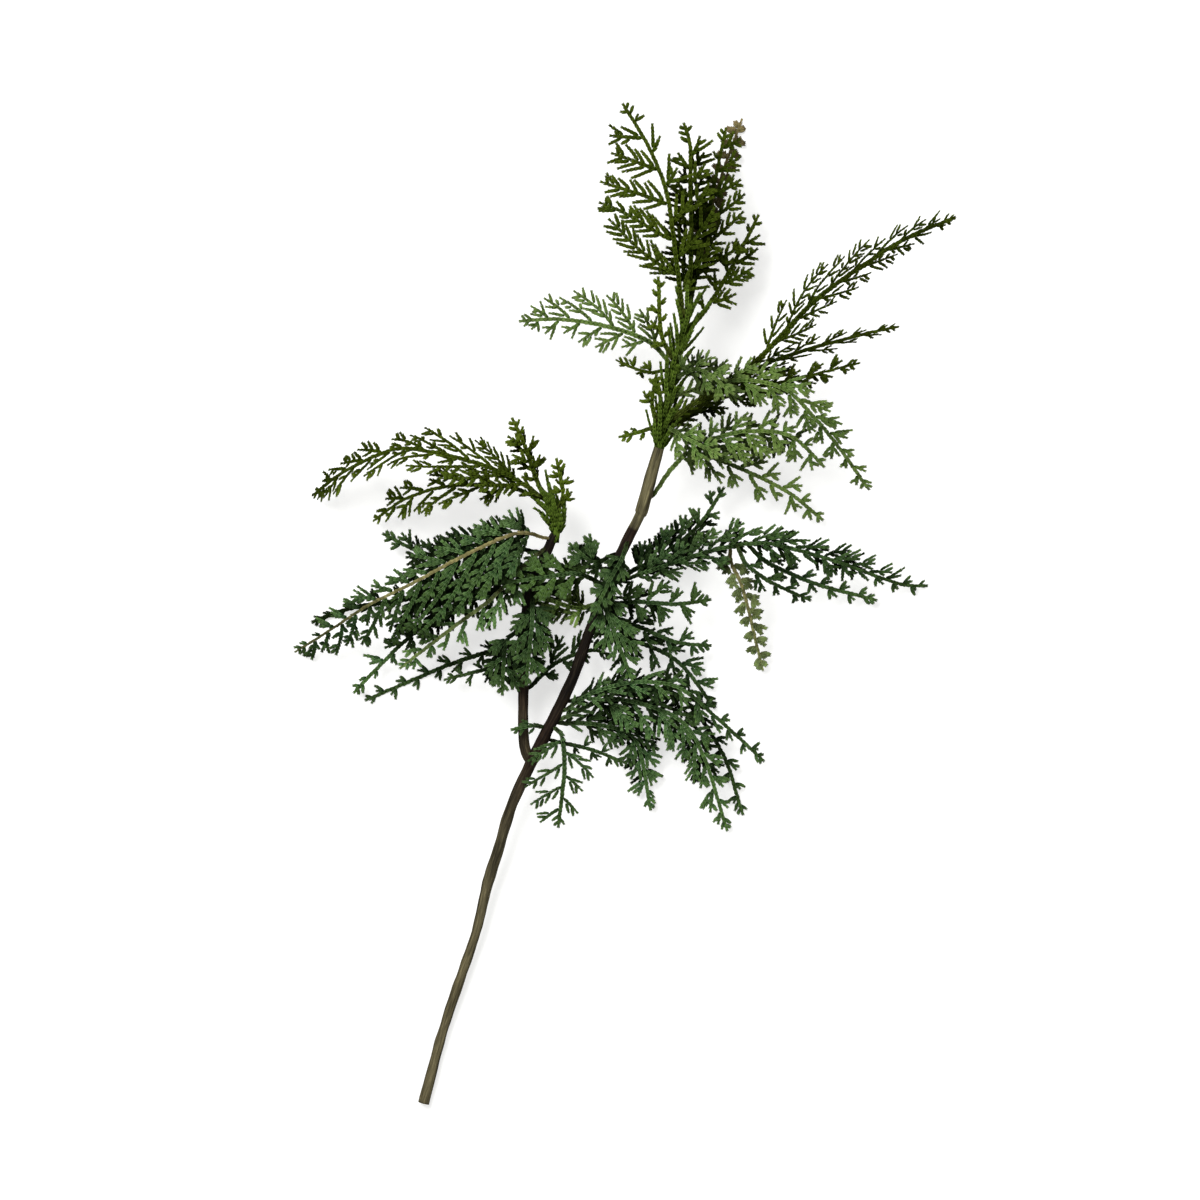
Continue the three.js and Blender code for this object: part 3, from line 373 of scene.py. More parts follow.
# How broad the twigs of some sprays are, as a share of their tone's
TWIG_BREADTH: dict[str, float] = {
    "low_face": 0.84, "left_dark": 0.84, "left_low": 0.84, "left_twig": 0.84, "low_thin": 0.84,
    "fork_twig": 0.84, "low_outer": 0.9, "right_second": 0.84, "right_long": 0.84, "leader_face": 0.84,
    "right_pale": 1.5, "crown_tan": 1.7, "left_fan": 1.1, "centre_left": 1.15, "centre_upright": 1.2,
    "centre_cap": 1.15, "fork_cover": 1.12, "left_hanging": 1.1, "centre_front": 1.05,
}

# The sprays whose ribs are leafy from the foot
LEAFY_FEET = frozenset({"low_arch", "low_middle", "low_front", "low_outer", "left_fork", "left_fan_low",
                        "heart_lower", "right_long", "right_second", "right_third", "right_droop",
                        "left_upper", "left_under", "centre_upright", "right_band"})

# How much fresher than their tone the leaves of some sprays are, from 0 to 1
FRESHNESS: dict[str, float] = {"centre_left": 0.9, "heart_upper": 0.4, "left_upper": 0.2}

# How broad the ribs of some sprays are, as a share of the usual
RIB_BREADTH: dict[str, float] = {
    "right_long": 1.6, "right_second": 1.35, "left_upper": 1.25, "left_dark": 1.2,
}

# How dry and straw-coloured some ribs are, from 0 to 1
DRY_RIBS: dict[str, float] = {"left_fan": 0.95, "right_pale": 0.8, "crown_tan": 1.0, "left_fan_low": 0.3}

# How dry the leaves of some sprays are, from 0 to 1
DRY_LEAVES: dict[str, float] = {"right_pale": 0.22, "crown_tan": 0.25}


def unit(v: Array) -> Array:
    """Returns v at length 1."""
    return v / math.sqrt(float(v @ v))


def between(a: float, b: float, t: float) -> float:
    """Returns the number at share t of the way from a to b."""
    return a + (b - a) * t


def outline(t: float) -> float:
    """Returns how long branchlets are, as a share of their reach, at share t of a spray."""
    return min(1.0, FIRST_SHARE + GROWTH_RATE * t) * (1 - t) ** ROUNDING


class Line:
    """A smooth curve through points, read by its length, that runs straight on past both ends."""

    def __init__(self, points: Sequence[Array]) -> None:
        """Samples the curve.

        Args:
            points: the points it passes through, in order.
        """
        ends = [2 * points[0] - points[1], *points, 2 * points[-1] - points[-2]]
        spans = len(points) - 1
        samples = []
        for i in range(CURVE_SAMPLES + 1):
            place = spans * i / CURVE_SAMPLES
            span = min(int(place), spans - 1)
            samples.append(self._between(ends[span : span + 4], place - span))
        self.points = np.array(samples)
        steps = np.linalg.norm(np.diff(self.points, axis=0), axis=1)
        self.reached = np.concatenate([[0.0], np.cumsum(steps)])
        self.length = float(self.reached[-1])
        self._marks = self.reached.tolist()

    @staticmethod
    def _between(four: Sequence[Array], t: float) -> Array:
        """Finds a point between the second of four points and the third.

        Args:
            four: the points.
            t: the share of the way.

        Returns:
            The point.
        """
        a, b, c, d = four
        leave, arrive = 0.5 * (c - a), 0.5 * (d - b)
        square = -3 * b + 3 * c - 2 * leave - arrive
        cube = 2 * b - 2 * c + leave + arrive
        return b + leave * t + square * t * t + cube * t * t * t

    def at(self, s: float) -> Array:
        """Finds a point of the curve.

        Args:
            s: the length along it.

        Returns:
            The point.
        """
        i = bisect_right(self._marks, s)
        if i < 1 or i > CURVE_SAMPLES:
            i = 1 if s < 0 else CURVE_SAMPLES
        share = (s - self._marks[i - 1]) / (self._marks[i] - self._marks[i - 1])
        return self.points[i - 1] + (self.points[i] - self.points[i - 1]) * share

    def tangent(self, s: float) -> Array:
        """Returns the direction at length s."""
        return unit(self.at(s + 1) - self.at(s - 1))

    def nearest(self, point: Array) -> float:
        """Returns the length at which the line comes nearest to a point."""
        return float(self.reached[int(np.argmin(np.linalg.norm(self.points - point, axis=1)))])


class Dice:
    """Repeatable numbers from 0 to 1, the same for the same seed."""

    WORD = 0xFFFFFFFF
    START = (7919, 104729)
    STEP = (1664525, 1013904223)

    def __init__(self, seed: int) -> None:
        """Starts the run of numbers that the seed gives."""
        self.state = (seed * self.START[0] + self.START[1]) & self.WORD
        self.next()

    def next(self) -> float:
        """Returns the next number."""
        self.state = (self.state * self.STEP[0] + self.STEP[1]) & self.WORD
        return self.state / (self.WORD + 1)


class Room:
    """The room that wood and twigs already take, as balls with a radius."""

    MOST = 90000

    def __init__(self) -> None:
        """Starts with nothing taken."""
        self._places = np.zeros((self.MOST, 3))
        self._radii = np.zeros(self.MOST)
        self._owners = np.zeros(self.MOST, dtype=np.int32)
        self._count = 0
        self._names: dict[str, int] = {}

    def add(self, owner: str, points: Iterable[Array], radius: float) -> None:
        """Takes a ball at each point.

        Args:
            owner: who takes it.
            points: the balls' centres.
            radius: their radius.
        """
        number = self._names.setdefault(owner, len(self._names) + 1)
        for p in points:
            self._places[self._count] = p
            self._radii[self._count] = radius
            self._owners[self._count] = number
            self._count += 1

    def places(self) -> list[list[float]]:
        """Returns the centre of each ball that is taken."""
        return self._places[: self._count].tolist()

    def free(self, p: Array, radius: float, skip: Sequence[str], gap: float = TWIG_GAP) -> bool:
        """Tells whether a ball stays clear of the floor and of all that is taken.

        Args:
            p: the ball's centre.
            radius: its radius.
            skip: owners that it may touch.
            gap: the clearance that it keeps.

        Returns:
            True where there is room.
        """
        if p[2] < FLOOR_ROOM:
            return False
        n = self._count
        away = self._places[:n] - p
        least = self._radii[:n] + (radius + gap)
        near = np.einsum("ij,ij->i", away, away) <= least * least
        if not near.any():
            return True
        owners = self._owners[:n][near]
        allowed = [self._names.get(name, 0) for name in skip]
        return bool(np.isin(owners, allowed).all())


class Wood:
    """A stem or shoot as a line with a radius along it."""

    def __init__(self, plan: WoodPlan) -> None:
        """Draws the line that a plan gives.

        Args:
            plan: the plan.
        """
        self.line = Line([np.array(p, dtype=float) for p in plan.line])
        self.knots = [self.line.nearest(np.array(p, dtype=float)) for p in plan.line]
        self.radii = plan.radii

    def radius(self, s: float) -> float:
        """Finds the radius.

        Args:
            s: the length along the line.

        Returns:
            The radius there.
        """
        i = bisect_right(self.knots, s)
        if i < 1 or i > len(self.knots) - 1:
            i = 1 if s <= 0 else len(self.knots) - 1
        share = (s - self.knots[i - 1]) / (self.knots[i] - self.knots[i - 1])
        return between(self.radii[i - 1], self.radii[i], min(max(share, 0.0), 1.0))

    def balls(self) -> list[tuple[Array, float]]:
        """Returns points along the line with the radius there."""
        lengths = [i * HALF_STEP for i in range(int(self.line.length / HALF_STEP) + 1)]
        return [(self.line.at(s), self.radius(s)) for s in lengths]


class Spray:
    """One spray: a bent sheet that u measures along the rib and v across it, to the right positive."""

    def __init__(self, plan: SprayPlan, index: int) -> None:
        """Starts the spray.

        Args:
            plan: what it is like.
            index: its place in the list, which seeds its draws.
        """
        self.plan = plan
        self.index = index
        self.dice = Dice(index + 1)
        self.branchlets: list[Twig] = []
        self.fine: list[Twig] = []
        self.under: list[Twig] = []
        self.line: Line
        self.length = 0.0

    def seat(self, wood: dict[str, Wood], sprays: Sequence["Spray"]) -> None:
        """Seats the root on the wood or rib that carries it, and draws the rib's line from there.

        Args:
            wood: the stems and shoots by name.
            sprays: all the sprays, those seated before this one first.
        """
        plan = self.plan
        points = [np.array(p, dtype=float) for p in plan.rib]
        if plan.tip:
            line = wood[plan.carrier].line
            points[0] = line.at(line.length) + line.tangent(line.length) * SEAT_GAP
        elif plan.carrier in wood:
            stem = wood[plan.carrier]
            s = stem.line.nearest(points[0])
            near, along = stem.line.at(s), stem.line.tangent(s)
            out = points[1] - near
            out = unit(out - along * float(out @ along))
            points[0] = near + out * (stem.radius(s) + SEAT_GAP + ROOT_HALF)
        else:
            carrier = next(s for s in sprays if s.plan.name == plan.carrier)
            p, normal = carrier.sheet(plan.at, 0)
            points.insert(0, p + normal * (plan.face * (RIB_THICK * 2 + SEAT_GAP)))
        self.line = Line(points)
        self.length = self.line.length

    def sheet(self, u: float, v: float) -> tuple[Array, Array]:
        """Finds the sheet's point at (u, v).

        Args:
            u: the length along the rib.
            v: the length across it.

        Returns:
            The point and the sheet's normal there.
        """
        plan = self.plan
        along = self.line.tangent(u)
        roll = math.radians(between(plan.roll[0], plan.roll[1], self.tip_share(u)))
        level = unit(np.array([along[1], -along[0], 0.0]))
        face = np.cross(level, along)
        across = level * math.cos(roll) - face * math.sin(roll)
        normal = unit(np.cross(across, along))
        widest = max(plan.reach)
        p = self.line.at(u) + across * v - normal * (plan.sag * (v / widest) ** 2)
        return p, unit(normal + across * (2 * plan.sag * v / widest**2))

    def rib_half(self, u: float) -> float:
        """Finds the rib's half width.

        Args:
            u: the length along the rib.

        Returns:
            The half width there.
        """
        if u < self.plan.bare:
            return between(ROOT_HALF, RIB_HALF, min(1.0, u / ROOT_LENGTH))
        return between(RIB_HALF, RIB_TIP_HALF, (u - self.plan.bare) / (self.length - self.plan.bare))

    def stations(self) -> list[float]:
        """Divides the leafy part of the rib.

        Returns:
            The places along it where its branchlets begin and end.
        """
        leafy = self.length - self.plan.bare - RIB_TIP
        count = max(2, math.floor(leafy / (self.plan.pitch / 2) + 0.5))
        return [self.plan.bare + leafy * i / count for i in range(count + 1)]

    def tip_share(self, u: float) -> float:
        """Returns how far u is from the root, from 0 to 1."""
        return min(max(u / self.length, 0.0), 1.0)


@dataclass
class Twig:
    """A branchlet or twig of a spray, as a path in (u, v) that starts on an edge and curls."""

    spray: Spray
    start: tuple[float, float]
    angle: float
    curl: float
    length: float
    lift: float = 0.0
    base: float = 0.0
    # How light its leaves are; the under layers carry their painted shade here
    light: float = 1.0
    owner: str = ""
    segment: int = 0
    cuts: list[float] = field(default_factory=list)
    children: list["Twig"] = field(default_factory=list)

    def along(self, s: float) -> tuple[float, float, float]:
        """Finds where the twig has come to.

        Args:
            s: the length along it.

        Returns:
            The place (u, v) there, and the heading.
        """
        steps = max(1, math.ceil(s / SAMPLE_STEP))
        u, v = self.start
        for i in range(steps):
            heading = self.angle - self.curl * ((i + 0.5) * s) / steps
            u += math.cos(heading) * s / steps
            v += math.sin(heading) * s / steps
        return u, v, self.angle - self.curl * s

    def place(self, s: float) -> tuple[Array, Array]:
        """Finds the twig's point.

        Args:
            s: the length along it.

        Returns:
            The point there, and the way that the twig faces.
        """
        u, v, _ = self.along(s)
        p, normal = self.spray.sheet(u, v)
        return p + normal * (self.base + self.lift * min(s / LIFT_LENGTH, 1.0)), normal

    def fit(self, room: Room, radius: float, skip: Sequence[str], shortest: float,
            gap: float = TWIG_GAP) -> bool:
        """Cuts the twig back to where it stays clear of all else.

        Args:
            room: what is already taken.
            radius: the twig's radius.
            skip: owners that it may touch.
            shortest: the least length worth keeping.
            gap: the clearance that it keeps.

        Returns:
            False if too little is left.
        """
        s = SAMPLE_STEP
        while s <= self.length + ROUNDING_ROOM:
            if not room.free(self.place(s)[0], radius, skip, gap):
                self.length = s - HALF_STEP
                break
            s += HALF_STEP
        return self.length >= shortest

    def claim(self, room: Room, radius: float) -> None:
        """Takes the twig's room."""
        count = math.ceil(self.length / SAMPLE_STEP)
        room.add(self.owner, [self.place(self.length * i / count)[0] for i in range(count + 1)], radius)


class Growth:
    """Grows every spray: the ribs first, then the branchlets, the twigs and the finest twigs."""

    def __init__(self) -> None:
        """Seats the wood and the ribs."""
        self.wood = {"main": Wood(MAIN_STEM), "side_stem": Wood(SIDE_STEM),
                     "leader": Wood(LEADER_SHOOT), "side": Wood(SIDE_SHOOT)}
        self.sprays = [Spray(plan, i) for i, plan in enumerate(SPRAY_PLANS)]
        self.room = Room()
        for name, stem in self.wood.items():
            for p, radius in stem.balls():
                self.room.add(name, [p], radius)
        for spray in self.sprays:
            spray.seat(self.wood, self.sprays)
            count = int(spray.length / SAMPLE_STEP) + 1
            self.room.add(spray.plan.name, [spray.line.at(i * SAMPLE_STEP) for i in range(count)], RIB_HALF)

    def run(self) -> list[Spray]:
        """Grows all of them, layer after layer.

        Returns:
            The grown sprays.
        """
        for spray in self.sprays:
            self._branchlets(spray)
        for spray in self.sprays:
            self._twigs(spray)
        for spray in self.sprays:
            self._fine_twigs(spray)
        for spray in self.sprays:
            for layer in range(UNDER_LAYERS.get(spray.plan.name, 0)):
                self._under_layer(spray, layer + 1)
        return self.sprays

    def _branchlets(self, spray: Spray) -> None:
        """Grows a spray's branchlets, alternately to either side of its rib.

        Args:
            spray: the spray.
        """
        plan = spray.plan
        stations = spray.stations()
        for k in range(len(stations) - 1):
            side = 1 if (k + spray.index) % 2 else -1
            u = (stations[k] + stations[k + 1]) / 2
            t = (u - plan.bare) / (spray.length - plan.bare)
            reach = plan.reach[0 if side < 0 else 1] * outline(t)
            length = max(reach * between(*BRANCHLET_SHARE, spray.dice.next()), LEAST_BRANCHLET)
            angle = math.radians(between(*plan.angle, t) + self._lean(spray))
            curl = math.radians(BRANCHLET_CURL)
            twig = Twig(spray, (u, side * spray.rib_half(u)), side * angle, side * curl, length,
                        owner=f"{plan.name}/{k}", segment=k)
            if twig.fit(self.room, BRANCHLET_HALF, [plan.name], SHORTEST_BRANCHLET):
                twig.claim(self.room, BRANCHLET_HALF)
                spray.branchlets.append(twig)

    def _twigs(self, spray: Spray) -> None:
        """Grows the twigs on a spray's branchlets.

        Args:
            spray: the spray.
        """
        for branchlet in spray.branchlets:
            leafy = branchlet.length - BRANCHLET_TIP
            count = max(0, math.floor(leafy / TWIG_PITCH + 0.5))
            branchlet.cuts = [max(leafy, 0.0) * i / max(count, 1) for i in range(count + 1)]
            for j in range(count):
                side = 1 if (j + branchlet.segment) % 2 else -1
                s = (branchlet.cuts[j] + branchlet.cuts[j + 1]) / 2
                share = s / branchlet.length
                length = spray.plan.teeth * (TWIG_FIRST - TWIG_LOSS * share)
                length *= between(*TWIG_SHARE, spray.dice.next())
                angle = math.radians(TWIG_ANGLE + self._lean(spray))
                owner = f"{branchlet.owner}/{j}"
                twig = self._sprout(branchlet, s, side, angle, length, BRANCHLET_HALF, owner)
                if twig.fit(self.room, TWIG_HALF, [branchlet.owner], SHORTEST_TWIG):
                    twig.claim(self.room, TWIG_HALF)
                    branchlet.children.append(twig)

    def _fine_twigs(self, spray: Spray) -> None:
        """Grows the finer twigs: opposite each twig, and at each branchlet's end.

        Args:
            spray: the spray.
        """
        for branchlet in spray.branchlets:
            for j in range(len(branchlet.cuts) - 1):
                side = -1 if (j + branchlet.segment) % 2 else 1
                s = (branchlet.cuts[j] + branchlet.cuts[j + 1]) / 2
                s += between(-FINE_SHIFT, FINE_SHIFT, spray.dice.next())
                share = s / branchlet.length
                length = spray.plan.teeth * (TWIG_FIRST - TWIG_LOSS * share)
                length *= between(*FINE_SHARE, spray.dice.next())
                inner = spray.tip_share(branchlet.start[0]) < DENSE_SHARE
                if inner or spray.dice.next() < FINE_CHANCE.get(spray.plan.name, 1.0):
                    self._fine_twig(branchlet, s, side, length, f"o{j}")
            left = branchlet.length - branchlet.cuts[-1]
            for j in range(int(left / END_PITCH) - 1):
                side = 1 if (j + len(branchlet.cuts) + branchlet.segment) % 2 else -1
                s = branchlet.cuts[-1] + END_PITCH * (j + END_FIRST)
                self._fine_twig(branchlet, s, side, END_LENGTH - END_LOSS * j, f"e{j}", END_LEAN)
        self._rib_end(spray)
        if spray.plan.name in LEAFY_FEET:
            self._rib_foot(spray)

    def _rib_end(self, spray: Spray) -> None:
        """Grows the finer twigs at the end of a spray's rib.

        Args:
            spray: the spray.
        """
        start = spray.stations()[-1]
        for j in range(int((spray.length - start) / END_PITCH) - 1):
            side = 1 if (j + spray.index) % 2 else -1
            angle = math.radians(FINE_ANGLES[spray.plan.tone] + END_LEAN + self._lean(spray))
            place = (start + END_PITCH * (j + END_FIRST), side * FINE_EDGE)
            twig = Twig(spray, place, side * angle, 0.0, END_LENGTH - END_LOSS * j,
                        owner=f"{spray.plan.name}/r{j}")
            self._keep_fine(twig, [spray.plan.name])

    def _rib_foot(self, spray: Spray) -> None:
        """Grows short twigs along the foot of a spray's rib, below its branchlets.

        Args:
            spray: the spray.
        """
        for j in range(int((spray.plan.bare - FOOT_CLEAR) / FOOT_PITCH)):
            side = 1 if (j + spray.index) % 2 else -1
            angle = math.radians(FOOT_ANGLE + self._lean(spray))
            place = (FOOT_CLEAR + FOOT_PITCH * j, side * FINE_EDGE)
            length = between(*FOOT_LENGTHS, spray.dice.next())
            twig = Twig(spray, place, side * angle, 0.0, length, owner=f"{spray.plan.name}/f{j}")
            self._keep_fine(twig, [spray.plan.name])

    def _under_layer(self, spray: Spray, layer: int) -> None:
        """Grows leafy branchlets under a dense spray.

        Args:
            spray: the spray.
            layer: which layer under it, from 1. Odd ones lie opposite its own branchlets.
        """
        plan = spray.plan
        stations = spray.stations()
        for k in range(len(stations) - 1):
            side = -1 if (k + spray.index + layer) % 2 == 0 else 1
            u = (stations[k] + stations[k + 1]) / 2
            t = (u - plan.bare) / (spray.length - plan.bare)
            if t > UNDER_EXTENTS.get(plan.name, UNDER_EXTENT):
                break
            length = plan.reach[0 if side < 0 else 1] * outline(t)
            length *= between(*UNDER_SHARE, spray.dice.next())
            angle = math.radians(between(*plan.angle, t) + self._lean(spray))
            curl = math.radians(BRANCHLET_CURL)
            # Its leaves and its fine twigs' leaves take the under layers' painted shade
            twig = Twig(spray, (u, side * FINE_EDGE), side * angle, side * curl, length, segment=k,
                        lift=UNDER_LIFT * layer, light=UNDER_PAINTED_SHADE, owner=f"{plan.name}/u{layer}-{k}")
            if not twig.fit(self.room, UNDER_HALF, [plan.name], SHORTEST_BRANCHLET, FINE_GAP):
                continue
            twig.claim(self.room, UNDER_HALF)
            spray.under.append(twig)
            for j in range(int((twig.length - UNDER_LAST) / UNDER_PITCH)):
                s = UNDER_FIRST + UNDER_PITCH * j
                span = spray.plan.teeth * (TWIG_FIRST - TWIG_LOSS * s / twig.length)
                span *= between(*FINE_SHARE, spray.dice.next())
                self._fine_twig(twig, s, 1 if j % 2 else -1, span, f"u{j}")

    def _fine_twig(self, branchlet: Twig, s: float, side: int, length: float, mark: str,
                   more: float = 0.0) -> None:
        """Grows one finer twig if there is room for it.

        Args:
            branchlet: what it grows from.
            s: the length along the branchlet.
            side: -1 for its left edge, 1 for its right.
            length: its length, before it is cut back.
            mark: what tells it from the branchlet's other twigs.
            more: how much more than its tone's own it leans off, in degrees.
        """
        spray = branchlet.spray
        turn = math.radians(FINE_ANGLES[spray.plan.tone] + more + self._lean(spray))
        twig = self._sprout(branchlet, s, side, turn, length, FINE_EDGE, f"{branchlet.owner}/{mark}")
        twig.base, twig.light = branchlet.lift, branchlet.light
        self._keep_fine(twig, [branchlet.owner])

    def _keep_fine(self, twig: Twig, skip: Sequence[str]) -> None:
        """Keeps a finer twig if it has room, a little above or below its branchlet.

        Args:
            twig: the twig.
            skip: owners that it may touch.
        """
        spray = twig.spray
        twig.lift = between(-FINE_LIFT, FINE_LIFT, spray.dice.next())
        if twig.fit(self.room, TWIG_HALF, skip, FINE_SHORTEST, FINE_GAP):
            twig.claim(self.room, TWIG_HALF)
            spray.fine.append(twig)

    @staticmethod
    def _lean(spray: Spray) -> float:
        """Returns how much more or less than usual the next twig leans, in degrees."""
        return between(-LEAN, LEAN, spray.dice.next())

    @staticmethod
    def _sprout(branchlet: Twig, s: float, side: int, angle: float, length: float, edge: float,
                owner: str) -> Twig:
        """Starts one twig on a branchlet.

        Args:
            branchlet: what it grows from.
            s: the length along the branchlet.
            side: -1 for its left edge, 1 for its right.
            angle: how far it leans off the branchlet, in radians.
            length: its length, before it is cut back.
            edge: how far off the branchlet's middle it starts.
            owner: the name under which it takes its room.

        Returns:
            The twig.
        """
        u, v, heading = branchlet.along(s)
        start = (u - math.sin(heading) * side * edge, v + math.cos(heading) * side * edge)
        return Twig(branchlet.spray, start, heading + side * angle, 0.0, length, owner=owner)


@dataclass
class Chain:
    """A line of leaves: its points, the way they face, and how broad, long, dry and young they are."""

    points: list[Array] = field(default_factory=list)
    faces: list[Array] = field(default_factory=list)
    breadth: list[float] = field(default_factory=list)
    stretch: list[float] = field(default_factory=list)
    dry: list[float] = field(default_factory=list)
    young: list[float] = field(default_factory=list)
    core: list[float] = field(default_factory=list)
    light: list[float] = field(default_factory=list)

    def add(self, point: Array, face: Array, breadth: float, stretch: float, dry: float, young: float,
            core: float, light: float) -> None:
        """Adds a point.

        Args:
            point: where it is, in millimetres.
            face: the way its leaves face.
            breadth: how broad its leaves are.
            stretch: how long they are.
            dry: how dry they are, from 0 to 1.
            young: how young they are, from 0 to 1.
            core: the radius of the twig within them, in millimetres.
            light: how light their colour is, 1 for the tone's own; it carries the painted shade.
        """
        self.points.append(point)
        self.faces.append(face)
        self.breadth.append(breadth)
        self.stretch.append(stretch)
        self.dry.append(dry)
        self.young.append(young)
        self.core.append(core * MM)
        self.light.append(light)


class TwigLines:
    """The lines along which leaves stand, as one mesh of loose edges with a value for each point."""

    VALUES = ("breadth", "stretch", "dry", "young", "core", "light")

    def __init__(self, name: str) -> None:
        """Starts an empty set of lines."""
        self.name = name
        self.chains: list[Chain] = []

    def add(self, chain: Chain) -> None:
        """Adds a line."""
        if len(chain.points) > 1:
            self.chains.append(chain)

    def mesh(self) -> bpy.types.Mesh:
        """Makes the lines a mesh.

        Returns:
            The mesh, in metres.
        """
        points = np.array([p for c in self.chains for p in c.points]) * MM
        edges, start = [], 0
        for chain in self.chains:
            edges += [(start + i, start + i + 1) for i in range(len(chain.points) - 1)]
            start += len(chain.points)
        mesh = bpy.data.meshes.new(self.name)
        mesh.from_pydata(points.tolist(), edges, [])
        faces = mesh.attributes.new("facing", "FLOAT_VECTOR", "POINT")
        faces.data.foreach_set("vector", np.array([f for c in self.chains for f in c.faces]).ravel())
        for value in self.VALUES:
            column = np.array([v for c in self.chains for v in getattr(c, value)])
            mesh.attributes.new(value, "FLOAT", "POINT").data.foreach_set("value", column)
        return mesh


@dataclass(frozen=True)
class LeafWhorl:
    """One whorl of a flat thuja twig: two boat-shaped edge leaves, and a facial pair between them."""

    length: float = 3.1
    half_width: float = 1.12
    half_depth: float = 0.62
    # Sections of an edge leaf: share of length; inner edge, crest and outer edge; height of the crest
    edge_leaf: tuple[tuple[float, ...], ...] = (
        (0.0, 0.02, 0.30, 0.52, 0.50), (0.36, 0.06, 0.50, 0.84, 0.66), (0.72, 0.30, 0.72, 1.0, 0.44))
    edge_leaf_tip: tuple[float, float] = (1.0, 0.74)
    # How high the inner edge, crest, outer edge and underside stand, and how that grows along the leaf
    edge_rise: tuple[float, ...] = (0.05, 0.8, 0.1, 0.8)
    edge_rise_start: float = 0.5
    edge_rise_step: float = 0.35
    edge_tip_rise: float = 0.9
    # The facial leaf's outline, how high it stands there, and its crest: place, depth and height
    facial_leaf: tuple[tuple[float, float], ...] = ((0.02, 0.0), (0.4, 0.46), (0.72, 0.34), (1.02, 0.0))
    facial_rise: tuple[float, ...] = (0.0, 0.1, 0.35, 0.95, 0.35, 0.1)
    facial_crest: tuple[float, float, float] = (0.58, 0.96, 0.7)

    def mesh(self) -> bpy.types.Mesh:
        """Makes the whorl.

        Returns:
            Its mesh, growing along +X and facing +Z, with its relief as a value, which places the painted
            crease shade and ridge highlight.
        """
        points: list[Point] = []
        faces: list[tuple[int, ...]] = []
        relief: list[float] = []
        for side in (-1, 1):
            self._edge_leaf(side, points, faces, relief)
        self._facial_pair(points, faces, relief)
        mesh = bpy.data.meshes.new("leaf_whorl")
        mesh.from_pydata([tuple(c * MM for c in p) for p in points], [], faces)
        mesh.attributes.new("relief", "FLOAT", "POINT").data.foreach_set("value", relief)
        mesh.update()
        return mesh

    def _edge_leaf(self, side: int, points: list[Point], faces: list[tuple[int, ...]],
                   relief: list[float]) -> None:
        """Adds the leaf that folds round one edge of the twig.

        Args:
            side: 1 for the left edge, -1 for the right.
            points: the mesh's points, added to.
            faces: its faces, added to.
            relief: how high each point stands, from 0 to 1, added to.
        """
        first = len(points)
        for row, (x, inner, crest, outer, depth) in enumerate(self.edge_leaf):
            ring = ((inner, 0.0), (crest, depth), (outer, 0.0), (crest, -depth))
            for (y, z), height in zip(ring, self.edge_rise):
                points.append((x * self.length, side * y * self.half_width, z * self.half_depth))
                relief.append(min(1.0, height * (self.edge_rise_start + self.edge_rise_step * row)))
        tip_x, tip_y = self.edge_leaf_tip
        points.append((tip_x * self.length, side * tip_y * self.half_width, 0.0))
        relief.append(self.edge_tip_rise)
        last = first + 4 * (len(self.edge_leaf) - 1)
        new = [(first, first + 1, first + 2, first + 3)]
        for row in range(len(self.edge_leaf) - 1):
            for i in range(4):
                a, b = first + 4 * row + i, first + 4 * row + (i + 1) % 4
                new.append((a, a + 4, b + 4, b))
        new += [(last + i, len(points) - 1, last + (i + 1) % 4) for i in range(4)]
        faces += [f if side > 0 else f[::-1] for f in new]

    def _facial_pair(self, points: list[Point], faces: list[tuple[int, ...]], relief: list[float]) -> None:
        """Adds the pair of shield-shaped leaves on the twig's two faces, as one lens.

        Args:
            points: the mesh's points, added to.
            faces: its faces, added to.
            relief: how high each point stands, from 0 to 1, added to.
        """
        first = len(points)
        (x0, _), (x1, y1), (x2, y2), (x3, _) = self.facial_leaf
        rim = [(x0, 0.0), (x1, -y1), (x2, -y2), (x3, 0.0), (x2, y2), (x1, y1)]
        for (x, y), height in zip(rim, self.facial_rise):
            points.append((x * self.length, y * self.half_width, 0.0))
            relief.append(height)
        x, depth, height = self.facial_crest
        for side in (1, -1):
            points.append((x * self.length, 0.0, side * depth * self.half_depth))
            relief.append(height)
        top, under = first + 6, first + 7
        for i in range(6):
            a, b = first + i, first + (i + 1) % 6
            faces.append((a, b, top))
            faces.append((b, a, under))


